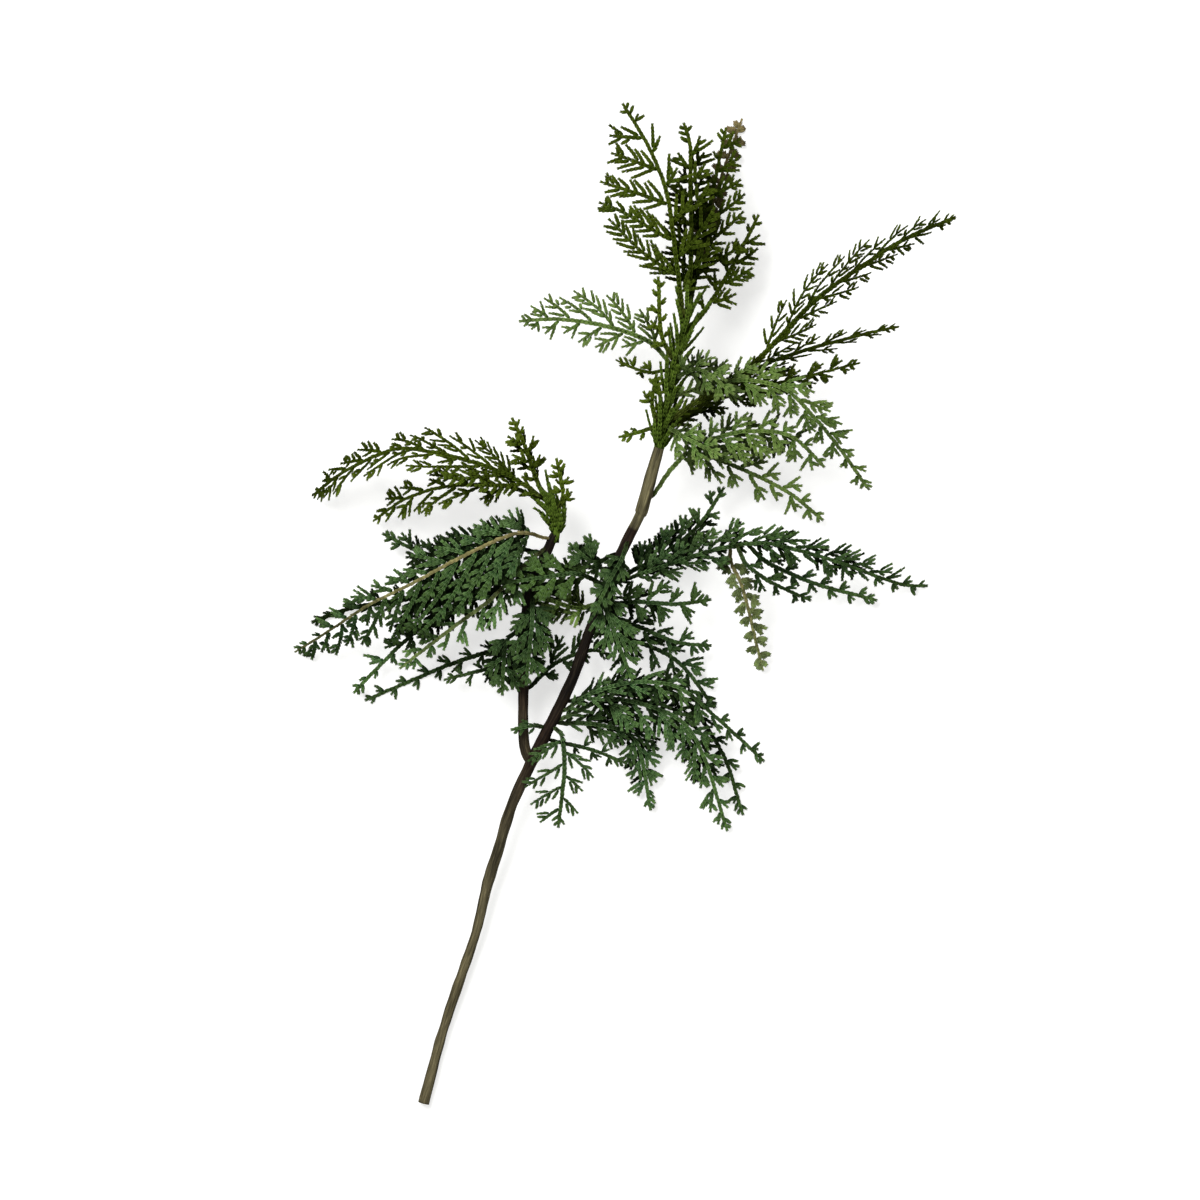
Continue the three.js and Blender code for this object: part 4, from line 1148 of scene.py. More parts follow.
class NodeTree:
    """A small helper that adds and links nodes in any kind of node tree."""

    def __init__(self, tree: bpy.types.NodeTree) -> None:
        """Works on the given tree."""
        self.tree = tree

    def socket(self, name: str, kind: str, default: object = None, output: bool = False) -> None:
        """Adds a named input or output to the tree.

        Args:
            name: its name.
            kind: its Blender type.
            default: its value where none is given.
            output: True for an output.
        """
        side = "OUTPUT" if output else "INPUT"
        made = self.tree.interface.new_socket(name, in_out=side, socket_type=kind)
        if default is not None:
            made.default_value = default

    def add(self, kind: str, settings: dict[str, object] | None = None,
            **inputs: object) -> bpy.types.Node:
        """Adds a node.

        Args:
            kind: the node's Blender type.
            settings: its properties by name.
            inputs: a value or an output socket for its inputs, by name or, with a leading i, by number.

        Returns:
            The node.
        """
        node = self.tree.nodes.new(kind)
        for key, value in (settings or {}).items():
            setattr(node, key, value)
        for key, value in inputs.items():
            number = key[1:]
            target = node.inputs[int(number)] if number.isdigit() else node.inputs[key.replace("_", " ")]
            self.feed(target, value)
        return node

    def feed(self, target: bpy.types.NodeSocket, value: object) -> None:
        """Links an output socket to an input, or sets the input's own value.

        Args:
            target: the input.
            value: the output socket or value that it takes.
        """
        if isinstance(value, bpy.types.NodeSocket):
            self.tree.links.new(value, target)
        else:
            target.default_value = value

    def read(self, name: str) -> bpy.types.NodeSocket:
        """Returns the output that reads, in a material, a value which the piece's own mesh carries."""
        return self.add("ShaderNodeAttribute", {"attribute_name": name}).outputs["Fac"]

    def mix(self, share: object, a: object, b: object) -> bpy.types.NodeSocket:
        """Returns the mix of two colours, all b where the share is 1."""
        return self.add("ShaderNodeMix", {"data_type": "RGBA"}, i0=share, i6=a, i7=b).outputs[2]

    def sum(self, operation: str, a: object, b: object) -> bpy.types.NodeSocket:
        """Returns the result of one sum, such as MULTIPLY."""
        return self.add("ShaderNodeMath", {"operation": operation}, i0=a, i1=b).outputs[0]

    def spread(self, value: object, low: float, high: float, least: float = 0.0,
               most: float = 1.0) -> bpy.types.NodeSocket:
        """Returns a value with its range from low to high spread from least to most."""
        return self.add("ShaderNodeMapRange", Value=value, From_Min=low, From_Max=high, To_Min=least,
                        To_Max=most).outputs[0]

    def scale(self, vector: object, share: object) -> bpy.types.NodeSocket:
        """Returns a vector or colour times a number."""
        return self.add("ShaderNodeVectorMath", {"operation": "SCALE"}, i0=vector, Scale=share).outputs[0]


class LeafGrower:
    """The node tree that covers twig lines with whorls of scale leaves round a thin core."""

    TILT = (0.16, 0.10, 0.06)

    def __init__(self) -> None:
        """Builds the tree and the whorl that it repeats."""
        self.whorl = bpy.data.objects.new("leaf_whorl", LeafWhorl().mesh())
        self.tree = self._build()

    def _build(self) -> bpy.types.NodeTree:
        """Builds the tree, which takes the lines and their leaves' sizes.

        Returns:
            The tree, which ends in plain geometry with its finish.
        """
        tree = bpy.data.node_groups.new("scale_leaf_growth", "GeometryNodeTree")
        t = NodeTree(tree)
        t.socket("Twig Lines", "NodeSocketGeometry")
        t.socket("Leaf Pitch", "NodeSocketFloat", 2.3 * MM)
        t.socket("Core Sides", "NodeSocketInt", 7)
        t.socket("Seed", "NodeSocketInt", 1)
        t.socket("Whorl", "NodeSocketObject")
        t.socket("Finish", "NodeSocketMaterial")
        t.socket("Leafy Twigs", "NodeSocketGeometry", output=True)
        given = t.add("NodeGroupInput").outputs
        curves = t.add("GeometryNodeMeshToCurve", Mesh=given["Twig Lines"])
        whole = t.add("GeometryNodeSplineLength").outputs["Length"]
        spans = t.sum("CEIL", t.sum("DIVIDE", whole, given["Leaf Pitch"]), 0.0)
        spaced = t.add("GeometryNodeResampleCurve", {"mode": "COUNT"}, Curve=curves.outputs[0],
                       Count=t.sum("ADD", spans, 1.0)).outputs[0]
        whorl = t.add("GeometryNodeObjectInfo", Object=given["Whorl"])
        breadth = self._value(t, "breadth")
        size = t.add("ShaderNodeCombineXYZ", i0=self._value(t, "stretch"), i1=breadth, i2=breadth)
        placed = t.add("GeometryNodeInstanceOnPoints", Points=spaced, Instance=whorl.outputs["Geometry"],
                       Rotation=self._turn(t, given["Seed"]), Scale=size.outputs[0])
        chance = t.add("FunctionNodeRandomValue", {"data_type": "FLOAT"}, Seed=given["Seed"])
        tinted = t.add("GeometryNodeStoreNamedAttribute", {"domain": "INSTANCE", "data_type": "FLOAT"},
                       Geometry=placed.outputs[0], Name="tint", Value=chance.outputs[1])
        both = t.add("GeometryNodeJoinGeometry")
        t.feed(both.inputs[0], self._core(t, spaced, given["Core Sides"]))
        t.feed(both.inputs[0], tinted.outputs[0])
        real = t.add("GeometryNodeRealizeInstances", Geometry=both.outputs[0])
        smooth = t.add("GeometryNodeSetShadeSmooth", Geometry=real.outputs[0])
        dressed = t.add("GeometryNodeSetMaterial", Geometry=smooth.outputs[0], Material=given["Finish"])
        t.feed(t.add("NodeGroupOutput").inputs[0], dressed.outputs[0])
        return tree

    @staticmethod
    def _value(t: NodeTree, name: str, kind: str = "FLOAT") -> bpy.types.NodeSocket:
        """Returns the output that reads a named value of the lines."""
        return t.add("GeometryNodeInputNamedAttribute", {"data_type": kind}, Name=name).outputs[0]

    def _turn(self, t: NodeTree, seed: bpy.types.NodeSocket) -> bpy.types.NodeSocket:
        """Turns each whorl along its line, facing as the line says, and a little off.

        Args:
            t: the tree.
            seed: what the little turns are drawn from.

        Returns:
            The output that holds the turn.
        """
        tangent = t.add("GeometryNodeInputTangent").outputs[0]
        facing = self._value(t, "facing", "FLOAT_VECTOR")
        upright = t.add("FunctionNodeAxesToRotation", {"primary_axis": "X", "secondary_axis": "Z"},
                        Primary_Axis=tangent, Secondary_Axis=facing).outputs[0]
        least = tuple(-c for c in self.TILT)
        off = t.add("FunctionNodeRandomValue", {"data_type": "FLOAT_VECTOR"}, i0=least, i1=self.TILT,
                    Seed=seed).outputs[0]
        local = {"rotation_space": "LOCAL"}
        return t.add("FunctionNodeRotateRotation", local, i0=upright, i1=off).outputs[0]

    def _core(self, t: NodeTree, curve: bpy.types.NodeSocket,
              sides: bpy.types.NodeSocket) -> bpy.types.NodeSocket:
        """Makes the thin round core along the lines.

        Args:
            t: the tree.
            curve: the lines.
            sides: how many sides the core has.

        Returns:
            The output that holds the core.
        """
        ring = t.add("GeometryNodeCurvePrimitiveCircle", Resolution=sides, Radius=1.0)
        return t.add("GeometryNodeCurveToMesh", Curve=curve, Profile_Curve=ring.outputs[0],
                     Scale=self._value(t, "core"), Fill_Caps=True).outputs[0]

    def grow(self, lines: TwigLines, finish: bpy.types.Material, pitch: float, seed: int,
             sides: int = 3) -> bpy.types.Mesh:
        """Covers lines with leaves.

        Args:
            lines: where the leaves stand.
            finish: their material.
            pitch: the length from one whorl to the next, in millimetres.
            seed: what their small random turns are drawn from.
            sides: how many sides the core within them has.

        Returns:
            A plain mesh.
        """
        carrier = bpy.data.objects.new(lines.name + "_lines", lines.mesh())
        bpy.context.scene.collection.objects.link(carrier)
        modifier = carrier.modifiers.new("growth", "NODES")
        modifier.node_group = self.tree
        wanted = {"Leaf Pitch": pitch * MM, "Core Sides": sides, "Seed": seed, "Whorl": self.whorl,
                  "Finish": finish}
        for item in self.tree.interface.items_tree:
            if item.in_out == "INPUT" and item.name in wanted:
                modifier[item.identifier] = wanted[item.name]
        carrier.update_tag()
        depsgraph = bpy.context.evaluated_depsgraph_get()
        mesh = bpy.data.meshes.new_from_object(
            carrier.evaluated_get(depsgraph), preserve_all_data_layers=True, depsgraph=depsgraph)
        mesh.name = lines.name
        line_mesh = carrier.data
        bpy.data.objects.remove(carrier)
        bpy.data.meshes.remove(line_mesh)
        return mesh

    def clear(self) -> None:
        """Removes the whorl that the tree repeated, which isn't a piece of the sprig."""
        mesh = self.whorl.data
        bpy.data.objects.remove(self.whorl)
        bpy.data.meshes.remove(mesh)


def colour(code: str) -> tuple[float, float, float, float]:
    """Turns a display colour into linear light.

    Args:
        code: the colour, such as "4a3f30".

    Returns:
        Its red, green, blue and alpha.
    """
    parts = [int(code[i : i + 2], 16) / 255 for i in (0, 2, 4)]
    linear = [c / 12.92 if c <= 0.04045 else ((c + 0.055) / 1.055) ** 2.4 for c in parts]
    return (linear[0], linear[1], linear[2], 1.0)


class SharedEffects:
    """Shader node groups that more than one finish uses."""

    # Ranges of a leaf's relief where its painted ridge highlight and its painted crease shade show
    RIDGE = (0.4, 0.95)
    CREASE = (0.38, 0.05)
    # How young tips take their colour, and how far chance and grain lighten and darken a leaf
    YOUTH = 0.75
    CHANCE = (0.75, 1.3)
    GRAIN = (0.86, 1.12)
    ROUGHNESS = (0.42, 0.68)

    def __init__(self) -> None:
        """Builds each group once."""
        self.mottle = self._mottle()
        self.leaf_tones = self._leaf_tones()

    @staticmethod
    def _mottle() -> bpy.types.NodeTree:
        """Builds the group that makes slow patches and fine grain.

        Returns:
            The group, which takes a place and two scales.
        """
        tree = bpy.data.node_groups.new("mottle", "ShaderNodeTree")
        t = NodeTree(tree)
        t.socket("Place", "NodeSocketVector")
        t.socket("Patch Scale", "NodeSocketFloat", 45.0)
        t.socket("Grain Scale", "NodeSocketFloat", 1400.0)
        t.socket("Patches", "NodeSocketFloat", output=True)
        t.socket("Grain", "NodeSocketFloat", output=True)
        given = t.add("NodeGroupInput").outputs
        slow = t.add("ShaderNodeTexNoise", Vector=given["Place"], Scale=given["Patch Scale"], Detail=3.0,
                     Roughness=0.55)
        fine = t.add("ShaderNodeTexNoise", Vector=given["Place"], Scale=given["Grain Scale"], Detail=2.0,
                     Roughness=0.6)
        out = t.add("NodeGroupOutput")
        t.feed(out.inputs["Patches"], t.spread(slow.outputs[0], 0.33, 0.67))
        t.feed(out.inputs["Grain"], fine.outputs[0])
        return tree

    def _leaf_tones(self) -> bpy.types.NodeTree:
        """Builds the group that colours a scale leaf by its age, dryness and chance, paints shade into its
        creases and a highlight onto its crests by its relief, and darkens it by its light value, which
        carries painted shade.

        Returns:
            The group, which takes six colours.
        """
        tree = bpy.data.node_groups.new("leaf_tones", "ShaderNodeTree")
        t = NodeTree(tree)
        for name in ("Crease", "Body", "Cool", "Ridge", "Young", "Dry"):
            t.socket(name, "NodeSocketColor")
        t.socket("Colour", "NodeSocketColor", output=True)
        t.socket("Roughness", "NodeSocketFloat", output=True)
        t.socket("Height", "NodeSocketFloat", output=True)
        given = t.add("NodeGroupInput").outputs
        place = t.add("ShaderNodeTexCoord").outputs["Object"]
        marks = t.add("ShaderNodeGroup", {"node_tree": self.mottle}, Place=place, Patch_Scale=38.0,
                      Grain_Scale=2300.0).outputs
        relief = t.read("relief")
        body = t.mix(marks["Patches"], given["Body"], given["Cool"])
        fresh = t.mix(t.sum("MULTIPLY", t.read("young"), self.YOUTH), body, given["Young"])
        # Painted highlight on the crests of the scales, then painted shade in the creases between them
        ridge_highlighted = t.mix(t.spread(relief, *self.RIDGE), fresh, given["Ridge"])
        crease_shaded = t.mix(t.spread(relief, *self.CREASE), ridge_highlighted, given["Crease"])
        dried = t.mix(t.read("dry"), crease_shaded, given["Dry"])
        chance = t.spread(t.read("tint"), 0.0, 1.0, *self.CHANCE)
        grain = t.spread(marks["Grain"], 0.3, 0.7, *self.GRAIN)
        out = t.add("NodeGroupOutput")
        # The light value scales the colour, painted shade included
        shade = t.sum("MULTIPLY", t.sum("MULTIPLY", chance, grain), t.read("light"))
        t.feed(out.inputs["Colour"], t.scale(dried, shade))
        t.feed(out.inputs["Roughness"], t.spread(marks["Grain"], 0.0, 1.0, *self.ROUGHNESS))
        t.feed(out.inputs["Height"], marks["Grain"])
        return tree


@dataclass(frozen=True)
class LeafFinish:
    """The look of one tone of scale leaves, as display colours."""

    tone: Tone
    # The crease colour is painted shade in the creases between the scales, and the ridge colour a painted
    # highlight on their crests
    crease: str
    body: str
    cool: str
    ridge: str
    young: str
    dry: str = "968c5d"
    bump: float = 0.35
    bump_depth: float = 0.25
    shine: float = 0.0

    def material(self, effects: SharedEffects) -> bpy.types.Material:
        """Makes the finish a material.

        Args:
            effects: the shader node groups that it uses.

        Returns:
            The material.
        """
        made = bpy.data.materials.new(self.tone.value)
        made.use_nodes = True
        t = NodeTree(made.node_tree)
        shader = made.node_tree.nodes["Principled BSDF"]
        tones = t.add("ShaderNodeGroup", {"node_tree": effects.leaf_tones}, Crease=colour(self.crease),
                      Body=colour(self.body), Cool=colour(self.cool), Ridge=colour(self.ridge),
                      Young=colour(self.young), Dry=colour(self.dry)).outputs
        bump = t.add("ShaderNodeBump", Strength=self.bump, Distance=self.bump_depth * MM,
                     Height=tones["Height"])
        t.feed(shader.inputs["Base Color"], tones["Colour"])
        t.feed(shader.inputs["Roughness"], tones["Roughness"])
        t.feed(shader.inputs["Normal"], bump.outputs[0])
        shader.inputs["Specular IOR Level"].default_value = self.shine
        return made


LEAF_FINISHES = (
    LeafFinish(Tone.OLIVE, crease="0d1300", body="374506", cool="2c400a", ridge="64752a", young="5c6a20"),
    LeafFinish(Tone.BRIGHT, crease="16240a", body="546b2a", cool="4a692e", ridge="85995c", young="7c8f4e"),
    LeafFinish(Tone.DEEP, crease="070f04", body="354d23", cool="2c4a29", ridge="6d8759", young="5b7b33"),
    LeafFinish(Tone.STRAW, crease="3a3018", body="7b6f4b", cool="66683c", ridge="a89a70", young="8a6a48"),
    LeafFinish(Tone.SHOOT, crease="0f1602", body="384b14", cool="304611", ridge="667c30", young="566c22"),
)


@dataclass(frozen=True)
class BarkFinish:
    """The look of the woody stem: streaked bark that pales towards both ends, and a cut face."""

    dark: str = "150e09"
    brown: str = "271b13"
    olive: str = "5c553d"
    sleeve: str = "5f593f"
    pale: str = "867e5e"
    weathered: str = "4a4431"
    cut: str = "b0a274"
    streak_pale: float = 0.12
    streak_lift: float = 2.4
    streak_share: float = 0.7
    shade: tuple[float, float] = (0.3, 1.1)
    roughness: tuple[float, float] = (0.55, 0.9)
    bump: float = 0.55
    bump_depth: float = 0.35
    shine: float = 0.1

    def material(self, effects: SharedEffects) -> bpy.types.Material:
        """Makes the finish a material.

        Args:
            effects: the shader node groups that it uses.

        Returns:
            The material.
        """
        made = bpy.data.materials.new("bark")
        made.use_nodes = True
        t = NodeTree(made.node_tree)
        shader = made.node_tree.nodes["Principled BSDF"]
        along = t.add("ShaderNodeAttribute", {"attribute_name": "bark_place"}).outputs["Vector"]
        streaks = t.add("ShaderNodeMapping", Vector=along, Scale=(1.0, 1.0, 0.09))
        fine = t.add("ShaderNodeTexNoise", Vector=streaks.outputs[0], Scale=1700.0, Detail=5.0,
                     Roughness=0.62)
        broad = t.add("ShaderNodeTexNoise", Vector=streaks.outputs[0], Scale=520.0, Detail=4.0,
                      Roughness=0.6)
        marks = t.add("ShaderNodeGroup", {"node_tree": effects.mottle}, Place=along, Patch_Scale=120.0,
                      Grain_Scale=2600.0).outputs
        ramp = self._ramp(t)
        paler = t.mix(self.streak_pale, t.scale(ramp.outputs[0], self.streak_lift), colour(self.pale))
        streaks_here = t.spread(fine.outputs[0], 0.5, 0.72, 0.0, self.streak_share)
        streaked = t.mix(streaks_here, ramp.outputs[0], paler)
        toned = t.scale(streaked, t.spread(broad.outputs[0], 0.36, 0.62, *self.shade))
        faced = t.mix(t.read("cut_face"), toned, colour(self.cut))
        rough = t.spread(marks["Grain"], 0.0, 1.0, *self.roughness)
        lift = t.sum("ADD", fine.outputs[0], marks["Grain"])
        bump = t.add("ShaderNodeBump", Strength=self.bump, Distance=self.bump_depth * MM, Height=lift)
        t.feed(shader.inputs["Base Color"], faced)
        t.feed(shader.inputs["Roughness"], rough)
        t.feed(shader.inputs["Normal"], bump.outputs[0])
        shader.inputs["Specular IOR Level"].default_value = self.shine
        return made

    def _ramp(self, t: NodeTree) -> bpy.types.Node:
        """Makes the ramp that colours the bark by its share of the way up the stem.

        Args:
            t: the material's tree.

        Returns:
            The ramp's node.
        """
        ramp = t.add("ShaderNodeValToRGB", Fac=t.read("stem_share"))
        # The dark stretch in the middle, under the foliage, is partly the bark's own colour and partly
        # painted shade from the foliage over it
        stops = ((0.0, self.olive), (0.24, self.olive), (0.40, self.weathered), (0.52, self.brown),
                 (0.62, self.dark), (0.82, self.dark), (0.875, self.brown), (0.88, self.sleeve),
                 (1.0, self.sleeve))
        elements = ramp.color_ramp.elements
        while len(elements) > 1:
            elements.remove(elements[-1])
        for i, (place, code) in enumerate(stops):
            stop = elements[0] if i == 0 else elements.new(place)
            stop.position = place
            stop.color = colour(code)
        return ramp


@dataclass
class WoodyStem:
    """The forked woody stem: ridged bark on the main stem and on the one that leaves its side."""

    node: str = "woody_stem"
    sides: int = 32
    ring_pitch: float = 1.1
    ridge: float = 0.16
    lump: float = 0.3
    knuckle: float = 0.75
    knuckle_width: float = 1.7
    knuckle_reach: float = 4.0
    bark_sink: float = 0.08
    pattern_radius: float = 2.8
    relief_radius: float = 2.6
    # Where the side stem's bark is taken from: how far up its pattern, and its tones' share of the ramp
    side_offset: float = 400.0
    side_tones: tuple[float, float] = (0.42, 0.3)
    # The inner ring of an end: how far out it stands, and how far in its pattern
    rim_share: float = 0.93
    rim_pattern: float = 0.9

    def build(self, growth: Growth, finish: bpy.types.Material) -> bpy.types.Object:
        """Builds the stem.

        Args:
            growth: the wood's lines, and the sprays that leave it.
            finish: its bark.

        Returns:
            The piece.
        """
        points: list[Array] = []
        faces: list[tuple[int, ...]] = []
        places: list[Point] = []
        shares: list[float] = []
        cuts: list[float] = []
        for name in ("main", "side_stem"):
            wood = growth.wood[name]
            roots = [s.line.points[0] for s in growth.sprays if s.plan.carrier == name]
            self._tube(wood, roots, name == "main", points, faces, places, shares, cuts)
        mesh = bpy.data.meshes.new(self.node + "_bark")
        mesh.from_pydata((np.array(points) * MM).tolist(), [], faces)
        layer = mesh.attributes.new("bark_place", "FLOAT_VECTOR", "POINT")
        layer.data.foreach_set("vector", (np.array(places) * MM).ravel())
        for key, values in (("stem_share", shares), ("cut_face", cuts)):
            mesh.attributes.new(key, "FLOAT", "POINT").data.foreach_set("value", values)
        mesh.polygons.foreach_set("use_smooth", [True] * len(mesh.polygons))
        mesh.materials.append(finish)
        mesh.update()
        return dress(mesh, self.node + "_bark", self.node)

    def _tube(self, wood: Wood, roots: list[Array], main: bool, points: list[Array],
              faces: list[tuple[int, ...]], places: list[Point], shares: list[float],
              cuts: list[float]) -> None:
        """Adds one ridged tube with closed ends.

        Args:
            wood: its line and radii.
            roots: where sprays leave it, which swells it a little.
            main: True for the main stem, False for the side stem.
            points: the mesh's points, added to.
            faces: its faces, added to.
            places: each point's place on the bark, added to.
            shares: each point's share of the way up the main stem, added to.
            cuts: 1 for each point of a cut face, added to.
        """
        length = wood.line.length
        rings = sorted({round(s, 3) for s in np.arange(0, length, self.ring_pitch)} | {length}
                       | {round(k, 3) for k in wood.knots})
        first = len(points)
        for s in rings:
            centre, along = wood.line.at(s), wood.line.tangent(s)
            side = unit(np.array([along[1], -along[0], 0.0]))
            over = np.cross(side, along)
            for i in range(self.sides):
                turn = 2 * math.pi * i / self.sides
                out = side * math.cos(turn) + over * math.sin(turn)
                radius = self._radius(wood, s, turn, main)
                p = centre + out * radius
                points.append(centre + out * (radius + self._swelling(p, roots)))
                places.append((math.cos(turn) * self.pattern_radius, math.sin(turn) * self.pattern_radius,
                               s + (0 if main else self.side_offset)))
                first_tone, more_tone = (0.0, 1.0) if main else self.side_tones
                shares.append(first_tone + more_tone * s / length)
                cuts.append(0.0)
        for ring in range(len(rings) - 1):
            for i in range(self.sides):
                a = first + ring * self.sides + i
                b = first + ring * self.sides + (i + 1) % self.sides
                faces.append((a, b, b + self.sides, a + self.sides))
        for ring, order in ((0, -1), (len(rings) - 1, 1)):
            self._end(first + ring * self.sides, order, main and ring == 0, points, faces, places,
                      shares, cuts)

    def _end(self, start: int, order: int, sawn: bool, points: list[Array], faces: list[tuple[int, ...]],
             places: list[Point], shares: list[float], cuts: list[float]) -> None:
        """Closes a tube's end with an inner ring and a middle point.

        Args:
            start: the number of the first point of its last ring.
            order: 1 where the end faces up the stem, -1 where it faces down.
            sawn: True for a cut face.
            points: the mesh's points, added to.
            faces: its faces, added to.
            places: each point's place on the bark, added to.
            shares: each point's share of the way up the main stem, added to.
            cuts: 1 for each point of a cut face, added to.
        """
        rim = list(range(start, start + self.sides))
        middle = sum(points[i] for i in rim) / self.sides
        inner = len(points)
        for i in rim:
            points.append(middle + (points[i] - middle) * self.rim_share)
            x, y, z = places[i]
            places.append((self.rim_pattern * x, self.rim_pattern * y, z))
            shares.append(shares[i])
            cuts.append(1.0 if sawn else 0.0)
        points.append(middle)
        places.append((0.0, 0.0, places[start][2]))
        shares.append(shares[start])
        cuts.append(1.0 if sawn else 0.0)
        for i in range(self.sides):
            j = (i + 1) % self.sides
            band = (rim[i], rim[j], inner + j, inner + i)
            wedge = (inner + i, inner + j, len(points) - 1)
            faces.append(band if order > 0 else band[::-1])
            faces.append(wedge if order > 0 else wedge[::-1])

    def _radius(self, wood: Wood, s: float, turn: float, main: bool) -> float:
        """Finds the bark's radius.

        Args:
            wood: the stem's line and radii.
            s: the length along it.
            turn: the turn round it, in radians.
            main: True for the main stem.

        Returns:
            The radius there, with its ridges and lumps.
        """
        base = sum(wood.radius(s + d) for d in (-0.5, 0.0, 0.5)) / 3
        seed = 0.0 if main else 50.0
        x, y = math.cos(turn) * self.relief_radius, math.sin(turn) * self.relief_radius
        ridges = noise.noise(Vector((x * 1.5, y * 1.5, s * 0.07 + seed))) * self.ridge
        fine = noise.noise(Vector((x * 3.1, y * 3.1, s * 0.22 + seed))) * self.ridge * 0.5
        lumps = noise.noise(Vector((x * 0.35, y * 0.35, s * 0.11 + seed + 9))) * self.lump
        return base - self.bark_sink + ridges + fine + lumps

    def _swelling(self, p: Array, roots: list[Array]) -> float:
        """Finds how far the bark swells towards the roots of sprays.

        Args:
            p: a point on the bark.
            roots: where the sprays leave it.

        Returns:
            The swelling there, in millimetres.
        """
        total = 0.0
        for root in roots:
            away = float(np.linalg.norm(p - root))
            if away < self.knuckle_reach:
                total += self.knuckle * math.exp(-((away / self.knuckle_width) ** 2))
        return min(total, self.knuckle)


@dataclass
class GreenShoot:
    """A green shoot: a core closely covered with overlapping scale leaves in rows."""

    node: str
    carrier: str
    tufts: int
    overlap: float
    tuft_length: float
    crowding: float = 1.4
    rows: int = 8
    pitch: float = 2.4
    step: float = 1.5
    sides: int = 12
    core_sink: float = 0.6
    leaf_sink: float = 0.45
    tuft_points: int = 5
    tuft_room: float = 3.0
    tuft_share: tuple[float, float] = (0.75, 1.2)
    tuft_rise: tuple[float, float] = (0.3, 0.55)
    tuft_light: float = 0.9

    GOLDEN_TURN = 2.39996
    SEED = 3

    def build(self, growth: Growth, grower: LeafGrower, finish: bpy.types.Material) -> bpy.types.Object:
        """Builds the shoot.

        Args:
            growth: its line and radii.
            grower: what covers it with leaves.
            finish: the leaves' material.

        Returns:
            The piece.
        """
        wood = growth.wood[self.carrier]
        lines = TwigLines(self.node + "_scales")
        count = int(wood.line.length / self.step) + 1
        core = Chain()
        for i in range(count):
            s = between(-self.overlap, wood.line.length, i / (count - 1))
            core.add(wood.line.at(s), UP, breadth=0.9, stretch=1.0, dry=0.0, young=0.0,
                     core=wood.radius(s) - self.core_sink, light=1.0)
        lines.add(core)
        for row in range(self.rows):
            lines.add(self._row(wood, row))
        dice = Dice(self.tufts)
        for i in range(self.tufts):
            lines.add(self._tuft(wood, i, dice))
        mesh = grower.grow(lines, finish, self.pitch, self.SEED, self.sides)
        return dress(mesh, self.node + "_scales", self.node)

    @staticmethod
    def _out(wood: Wood, s: float, turn: float) -> Array:
        """Finds the direction out of the shoot.

        Args:
            wood: the shoot.
            s: the length along it.
            turn: the turn round it, in radians.

        Returns:
            The direction.
        """
        along = wood.line.tangent(s)
        side = unit(np.array([along[1], -along[0], 0.0]))
        return side * math.cos(turn) + np.cross(side, along) * math.sin(turn)

    def _row(self, wood: Wood, row: int) -> Chain:
        """Makes one row of leaves along the shoot, each row half a leaf ahead of the last.

        Args:
            wood: the shoot.
            row: the row's number.

        Returns:
            The row's line.
        """
        turn = 2 * math.pi * row / self.rows
        start = self.pitch * 0.5 * (row % 2) - self.overlap
        chain = Chain()
        for i in range(int((wood.line.length - start - 1) / self.step)):
            s = start + self.step * i
            out = self._out(wood, s, turn)
            chain.add(wood.line.at(s) + out * (wood.radius(s) - self.leaf_sink), out, breadth=1.0,
                      stretch=1.5, dry=0.0, young=0.25, core=0.2, light=1.0)
        return chain

    def _tuft(self, wood: Wood, number: int, dice: Dice) -> Chain:
        """Makes a short leafy twig that stands close along the shoot.

        Args:
            wood: the shoot.
            number: the twig's number.
            dice: what its place and size are drawn from.

        Returns:
            The twig's line.
        """
        place = (number + between(0.2, 0.8, dice.next())) / self.tufts
        start = place**self.crowding * (wood.line.length - self.tuft_room)
        turn = number * self.GOLDEN_TURN
        length = between(*self.tuft_share, dice.next()) * self.tuft_length
        rise = between(*self.tuft_rise, dice.next())
        chain = Chain()
        for i in range(self.tuft_points):
            share = i / (self.tuft_points - 1)
            s = start + length * share * math.cos(rise)
            out = self._out(wood, s, turn)
            p = wood.line.at(s) + out * (wood.radius(start) + length * share * math.sin(rise))
            chain.add(p, unit(out + UP), breadth=between(1.15, 0.8, share**2), stretch=1.05, dry=0.0,
                      young=0.5 * share, core=0.25, light=self.tuft_light)
        return chain


class PaintedCanopyShade:
    """How much foliage lies over a place, for the painted shade that darkens the leaves beneath the rest.
    """

    def __init__(self, room: Room, cell: float = 3.0, clear: float = 1.8, full: float = 8.0) -> None:
        """Sorts what is taken into upright columns.

        Args:
            room: the room that wood and twigs take.
            cell: the side of a column, in millimetres.
            clear: how far above a place foliage starts to count.
            full: how many balls over a place shade most of it.
        """
        self.cell, self.clear, self.full = cell, clear, full
        self.columns: dict[tuple[int, int], list[float]] = {}
        for x, y, z in room.places():
            self.columns.setdefault((int(x // cell), int(y // cell)), []).append(z)
        for column in self.columns.values():
            column.sort()

    def over(self, p: Array) -> float:
        """Finds how much painted shade a place gets.

        Args:
            p: the place.

        Returns:
            The painted shade, from 0 to 1.
        """
        x, y, count = int(p[0] // self.cell), int(p[1] // self.cell), 0
        for i in (x - 1, x, x + 1):
            for j in (y - 1, y, y + 1):
                column = self.columns.get((i, j), [])
                count += len(column) - bisect_right(column, float(p[2]) + self.clear)
        return 1 - math.exp(-count / self.full)


